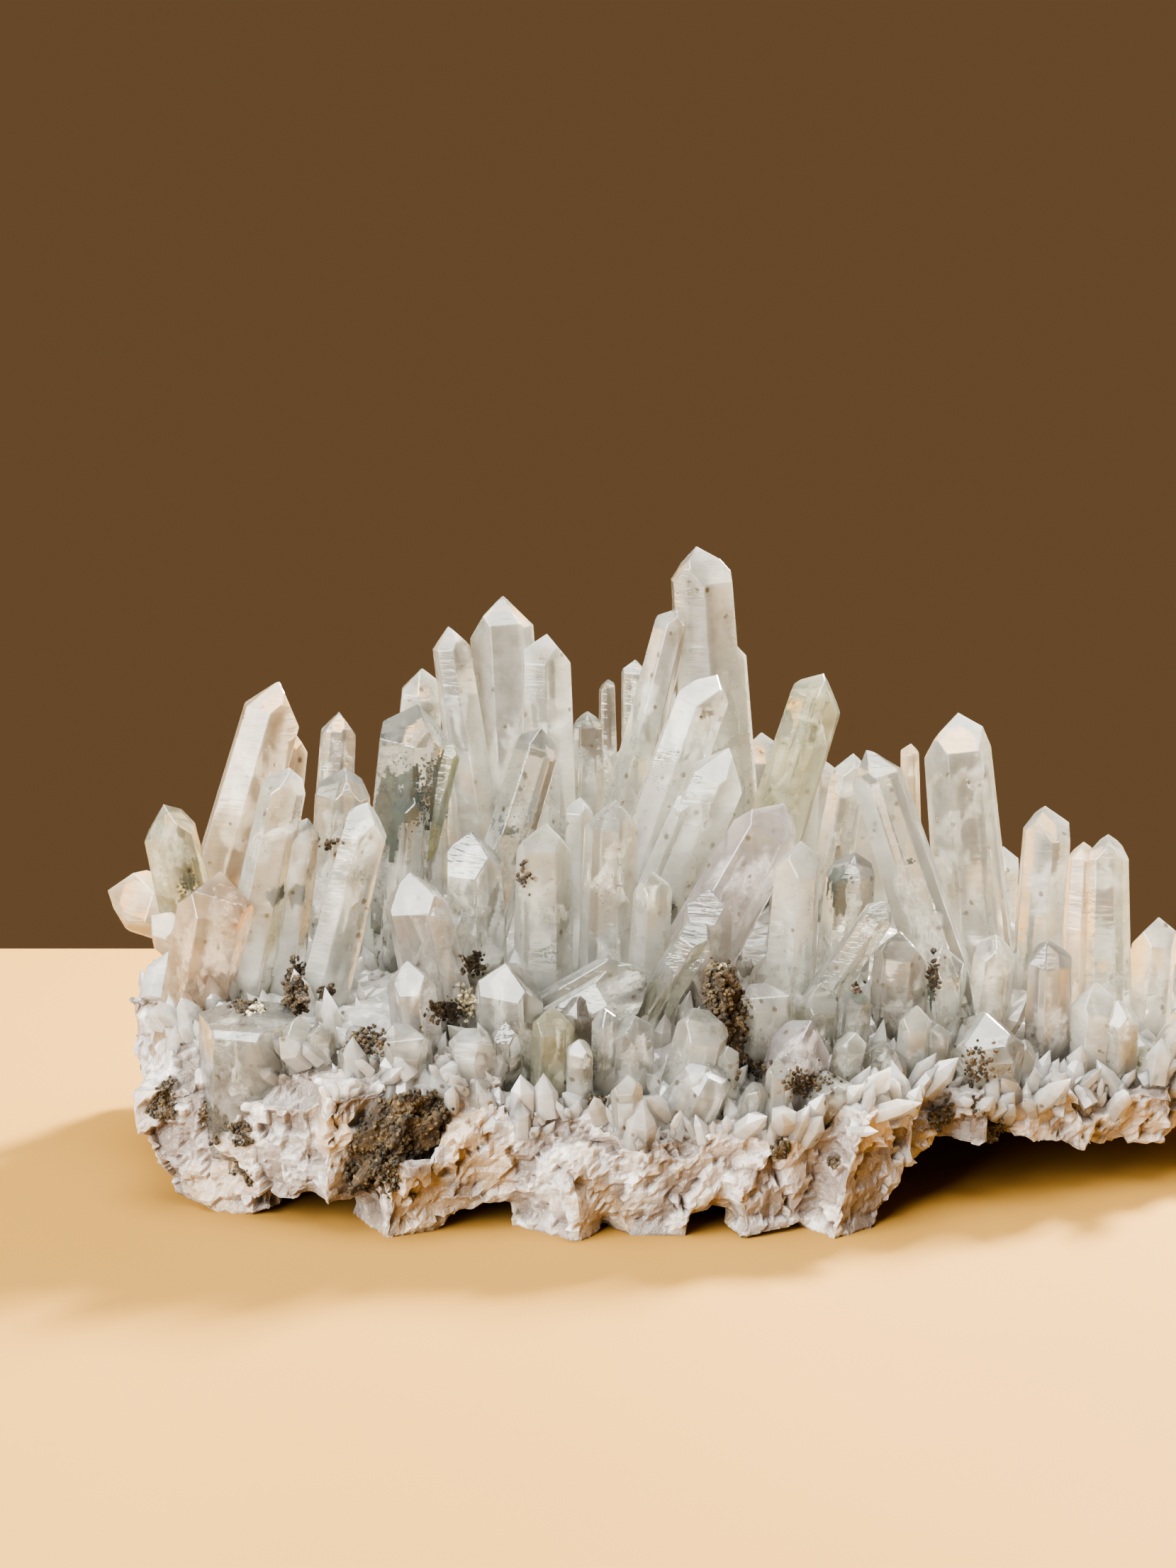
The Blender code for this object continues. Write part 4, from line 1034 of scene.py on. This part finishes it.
def quartz_material(name, pale, deep, transmission, roughness, absorb, density, milk):
    """See-through quartz: plain transmission, index and absorption, frosted by milky clouds, with fine specks."""
    material, nodes, links, shader, where = new_material(name)
    inputs_of(shader, IOR=1.544, Transmission_Weight=transmission, Subsurface_Weight=milk)
    inputs_of(shader, Subsurface_Radius=(0.0024, 0.0023, 0.0021), Subsurface_Scale=1.0)
    clouds = placed(nodes, links, EFFECTS["clouds"], where, Scale=150.0)
    specks = placed(nodes, links, EFFECTS["specks"], where, Amount=0.6)
    colour = blend(nodes, links, clouds["Cloud"], deep, pale)
    dusk = tuple(0.72 * value for value in deep)
    colour = blend(nodes, links, combine(nodes, links, "MULTIPLY", clouds["Haze"], 0.5), colour, dusk)
    colour = blend(nodes, links, combine(nodes, links, "MULTIPLY", specks["Speck"], 0.8), colour, (0.16, 0.12, 0.07))
    links.new(colour, shader.inputs["Base Color"])
    frost = ranged(nodes, links, clouds["Cloud"], 0.0, 1.0, roughness * 0.5, roughness * 2.6)
    links.new(frost, shader.inputs["Roughness"])
    bumped(nodes, links, shader, clouds["Relief"], 0.5, 0.00014)
    volume = nodes.new("ShaderNodeVolumeAbsorption")
    inputs_of(volume, Color=(*absorb, 1), Density=density)
    links.new(volume.outputs["Volume"], nodes["Material Output"].inputs["Volume"])
    return material


def sheet_material(name, dark, light, scale, cover, strength, roughness):
    """A thin cloud inside the quartz: two tones, seen through where its noise and its faded edge are low."""
    material, nodes, links, shader, where = new_material(name)
    inputs_of(shader, Roughness=roughness)
    grain = noise_value(nodes, links, where, scale, 4.0, 0.7)
    links.new(blend(nodes, links, ranged(nodes, links, grain, 0.4, 0.62), dark, light), shader.inputs["Base Color"])
    edge = nodes.new("ShaderNodeAttribute")
    edge.attribute_name = "fade"
    mask = combine(nodes, links, "ADD", grain, combine(nodes, links, "MULTIPLY", edge.outputs["Fac"], cover))
    links.new(ranged(nodes, links, mask, 0.55, 0.8, 0.0, strength), shader.inputs["Alpha"])
    return material


# Clouds in the plate: scale, where they begin and end in the noise, and colour. Stains and painted shade: mask,
# strength, colour; the first mask paints shade into the low places of the relief.
PLATE_CLOUDS = [
    (80.0, 0.44, 0.64, (0.36, 0.3, 0.27)), (190.0, 0.48, 0.68, (0.43, 0.365, 0.3)),
    (420.0, 0.5, 0.66, (0.64, 0.62, 0.595)), (900.0, 0.52, 0.66, (0.33, 0.28, 0.24)),
]
PLATE_STAINS_AND_SHADE = [
    ("hollow", 0.9, (0.17, 0.135, 0.115)), ("rust", 0.6, (0.4, 0.29, 0.18)), ("earth", 0.97, (0.06, 0.04, 0.018)),
]
EFFECTS = {"clouds": clouds_group(), "specks": specks_group()}
# For each finish: pale and deep tones, transmission, roughness, absorption colour and density, milky share.
QUARTZ_FINISHES = {
    "glassy": ((0.98, 0.98, 0.96), (0.84, 0.85, 0.8), 0.96, 0.02, (0.86, 0.88, 0.82), 6, 0.2),
    "clear": ((0.98, 0.98, 0.95), (0.74, 0.74, 0.69), 0.93, 0.05, (0.86, 0.87, 0.8), 8, 0.7),
    "milky": ((0.98, 0.97, 0.94), (0.7, 0.69, 0.62), 0.86, 0.1, (0.88, 0.88, 0.8), 6, 0.85),
    # Warm cream tones: painted warm light shining through these points.
    "cream": ((0.99, 0.9, 0.76), (0.86, 0.71, 0.52), 0.82, 0.1, (0.92, 0.84, 0.68), 8, 0.85),
    "tan": ((0.97, 0.84, 0.69), (0.76, 0.56, 0.4), 0.9, 0.06, (0.92, 0.77, 0.6), 12, 0.7),
    "olive": ((0.95, 0.94, 0.82), (0.55, 0.54, 0.38), 0.88, 0.08, (0.78, 0.78, 0.58), 10, 0.8),
    "lilac": ((0.95, 0.9, 0.89), (0.66, 0.6, 0.59), 0.87, 0.08, (0.82, 0.78, 0.79), 8, 0.8),
    # Darker grey tones: a smoky tint on some points, and painted shade on the points that sit in shadow.
    "smoky": ((0.8, 0.77, 0.73), (0.56, 0.53, 0.49), 0.88, 0.07, (0.66, 0.64, 0.61), 13, 0.75),
    "crust": ((0.93, 0.91, 0.88), (0.58, 0.55, 0.51), 0.6, 0.1, (0.88, 0.87, 0.83), 6, 0.85),
}
MATERIALS = {name: quartz_material("quartz_" + name, *values) for name, values in QUARTZ_FINISHES.items()}


def plate_material():
    """Milky quartz rock: sugary white with pinkish clouds, rusty and earthy stains, and painted shade darkening its
    hollows.
    """
    material, nodes, links, shader, where = new_material("plate_quartz")
    inputs_of(shader, IOR=1.544, Subsurface_Weight=0.5, Subsurface_Scale=1.0)
    inputs_of(shader, Subsurface_Radius=(0.0018, 0.0015, 0.0012))
    colour = (0.34, 0.325, 0.32)
    for scale, low, high, tint in PLATE_CLOUDS:
        mask = ranged(nodes, links, noise_value(nodes, links, where, scale, 5.0, 0.62), low, high)
        colour = blend(nodes, links, mask, colour, tint)
    speckle = noise_value(nodes, links, where, 700.0, 5.0, 0.75)
    # The mask of low places paints shade into them; the rust and earth masks are stains.
    for name, strength, tint in PLATE_STAINS_AND_SHADE:
        stain = nodes.new("ShaderNodeAttribute")
        stain.attribute_name = name
        spread = combine(nodes, links, "MULTIPLY_ADD", stain.outputs["Fac"], 1.1)
        spread.node.inputs[2].default_value = -0.55
        mask = ranged(nodes, links, combine(nodes, links, "ADD", spread, speckle), 0.3, 0.8, 0.0, strength)
        colour = blend(nodes, links, mask, colour, tint)
    links.new(colour, shader.inputs["Base Color"])
    links.new(ranged(nodes, links, speckle, 0.3, 0.7, 0.12, 0.5), shader.inputs["Roughness"])
    bumped(nodes, links, shader, noise_value(nodes, links, where, 1100.0, 4.0, 0.7), 0.7, 0.0004)
    return material


def earth_material(name, dark, light, fleck, roughness):
    """Fine-grained chlorite: two tones in a speckle, pale flecks, and a grainy surface."""
    material, nodes, links, shader, where = new_material(name)
    speckle = noise_value(nodes, links, where, 900.0, 4.0, 0.7)
    colour = blend(nodes, links, ranged(nodes, links, speckle, 0.4, 0.62), dark, light)
    colour = blend(nodes, links, ranged(nodes, links, noise_value(nodes, links, where, 1700.0, 2.0, 0.6), 0.6, 0.68),
                   colour, fleck)
    links.new(colour, shader.inputs["Base Color"])
    links.new(ranged(nodes, links, speckle, 0.3, 0.7, roughness - 0.25, roughness), shader.inputs["Roughness"])
    bumped(nodes, links, shader, speckle, 0.6, 0.0003)
    return material


def stage():
    """A plain pale table top with a straight far edge, a plain background and soft studio light."""
    left, right, near, far = TABLE_EDGES
    points = np.array([(left, near, 0), (right, near, 0), (right, far, 0), (left, far, 0)], float)
    floor = new_object("table_top", points, np.array([[0, 1, 2, 3]]))
    material, nodes, links, shader, where = new_material("table_paper")
    shade = ranged(nodes, links, noise_value(nodes, links, where, 12.0, 2.0, 0.5), 0.3, 0.7)
    links.new(blend(nodes, links, shade, (0.275, 0.138, 0.019), (0.295, 0.152, 0.025)), shader.inputs["Base Color"])
    inputs_of(shader, Roughness=0.9)
    floor.data.materials.append(material)
    world = bpy.data.worlds.new("studio")
    bpy.context.scene.world = world
    world.use_nodes = True
    inputs_of(world.node_tree.nodes["Background"], Color=(0.165, 0.098, 0.048, 1), Strength=0.9)
    add_light("key", (330, 360, 400), (0, 0, 20), 90, 33.5, (1.0, 0.96, 0.85))
    add_light("fill", (-390, -370, 270), (-10, 0, 25), 480, 13.4, (0.98, 1.0, 0.97))
    add_light("top", (-40, -60, 520), (0, 0, 20), 400, 6.3, (0.98, 1.0, 0.97))
    bpy.context.scene.view_settings.look = "AgX - Medium High Contrast"


def add_light(name, place, target, size, power, colour):
    """A square soft light aimed at a target; lengths in millimetres, power in watts."""
    light = bpy.data.lights.new(name, "AREA")
    light.size = size * METRES_PER_MM
    light.energy = power
    light.color = colour
    lamp = bpy.data.objects.new(name, light)
    bpy.context.collection.objects.link(lamp)
    lamp.location = Vector(place) * METRES_PER_MM
    lamp.rotation_euler = (Vector(target) - Vector(place)).to_track_quat("-Z", "Y").to_euler()


def camera():
    """The photograph's viewing angle: level in azimuth, about 12 degrees down, 350 mm away."""
    elevation, distance = CAMERA_ELEVATION, CAMERA_DISTANCE
    target = Vector(CAMERA_TARGET)
    picture_width = PHOTO_SIZE[0] / PHOTO_SCALE
    data = bpy.data.cameras.new("view")
    data.sensor_fit = "HORIZONTAL"
    data.sensor_width = 36
    data.lens = 36 * distance / picture_width
    data.clip_start = 0.01
    eye = bpy.data.objects.new("view", data)
    bpy.context.collection.objects.link(eye)
    place = target + Vector((0, -math.cos(elevation), math.sin(elevation))) * distance
    eye.location = place * METRES_PER_MM
    eye.rotation_euler = (target - place).to_track_quat("-Z", "Y").to_euler()
    bpy.context.scene.camera = eye


camera()
stage()
crystals = quartz_points()
druse = sugary_points()
plate = broken_plate()
rim = rim_crystals(plate)
inside = inside_crystals()
clouds = clouds_inside("chlorite_clouds", [row for row in INCLUSIONS if row[5] >= 50 and row[6] >= 0.2])
milk = clouds_inside("milky_clouds", MILKY)
cracks = healed_cracks()
specks = stain_grains(plate)
lodged = lodged_grains("lodged_grains", crystals, "earth", 37)
flecks = lodged_grains("cream_flecks", crystals, "flecks", 38)
earth = earth_material("chlorite_earth", (0.013, 0.008, 0.0035), (0.072, 0.046, 0.02), (0.16, 0.115, 0.052), 0.9)
green = earth_material("chlorite_green", (0.012, 0.02, 0.013), (0.04, 0.055, 0.036), (0.08, 0.1, 0.07), 0.8)
for piece, node, slot, material in (
    (crystals, "crystals", "crystal", None), (druse, "crystals", "crystal", MATERIALS["crust"]),
    (rim, "crystals", "crystal", MATERIALS["crust"]), (inside, "crystals", "chlorite", green),
    (clouds, "crystals", "chlorite", sheet_material(
        "chlorite_cloud", (0.006, 0.018, 0.01), (0.03, 0.06, 0.037), 900.0, 0.8, 1.0, 0.8)),
    (milk, "crystals", "crystal", sheet_material(
        "milky_cloud", (0.72, 0.7, 0.67), (0.95, 0.94, 0.91), 300.0, 0.6, 0.9, 0.4)),
    (cracks, "crystals", "crystal", sheet_material(
        "crack_veil", (0.8, 0.76, 0.7), (0.98, 0.97, 0.94), 650.0, 0.3, 0.5, 0.25)),
    (plate, "matrix", "milky_quartz", plate_material()), (specks, "matrix", "chlorite", earth),
    (lodged, "crystals", "chlorite", earth), (flecks, "crystals", "milky_quartz", earth_material(
        "cream_grit", (0.2, 0.16, 0.09), (0.6, 0.53, 0.37), (0.8, 0.75, 0.6), 0.8)),
):
    if material:
        piece.data.materials.append(material)
    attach(piece, "root")
    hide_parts(node)
for seed, (node, centre, size, lean) in enumerate(LUMPS):
    for piece in earth_lump(node, centre, size, lean, 60 + seed):
        piece.data.materials.append(earth)
        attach(piece, "root")
        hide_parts(node)
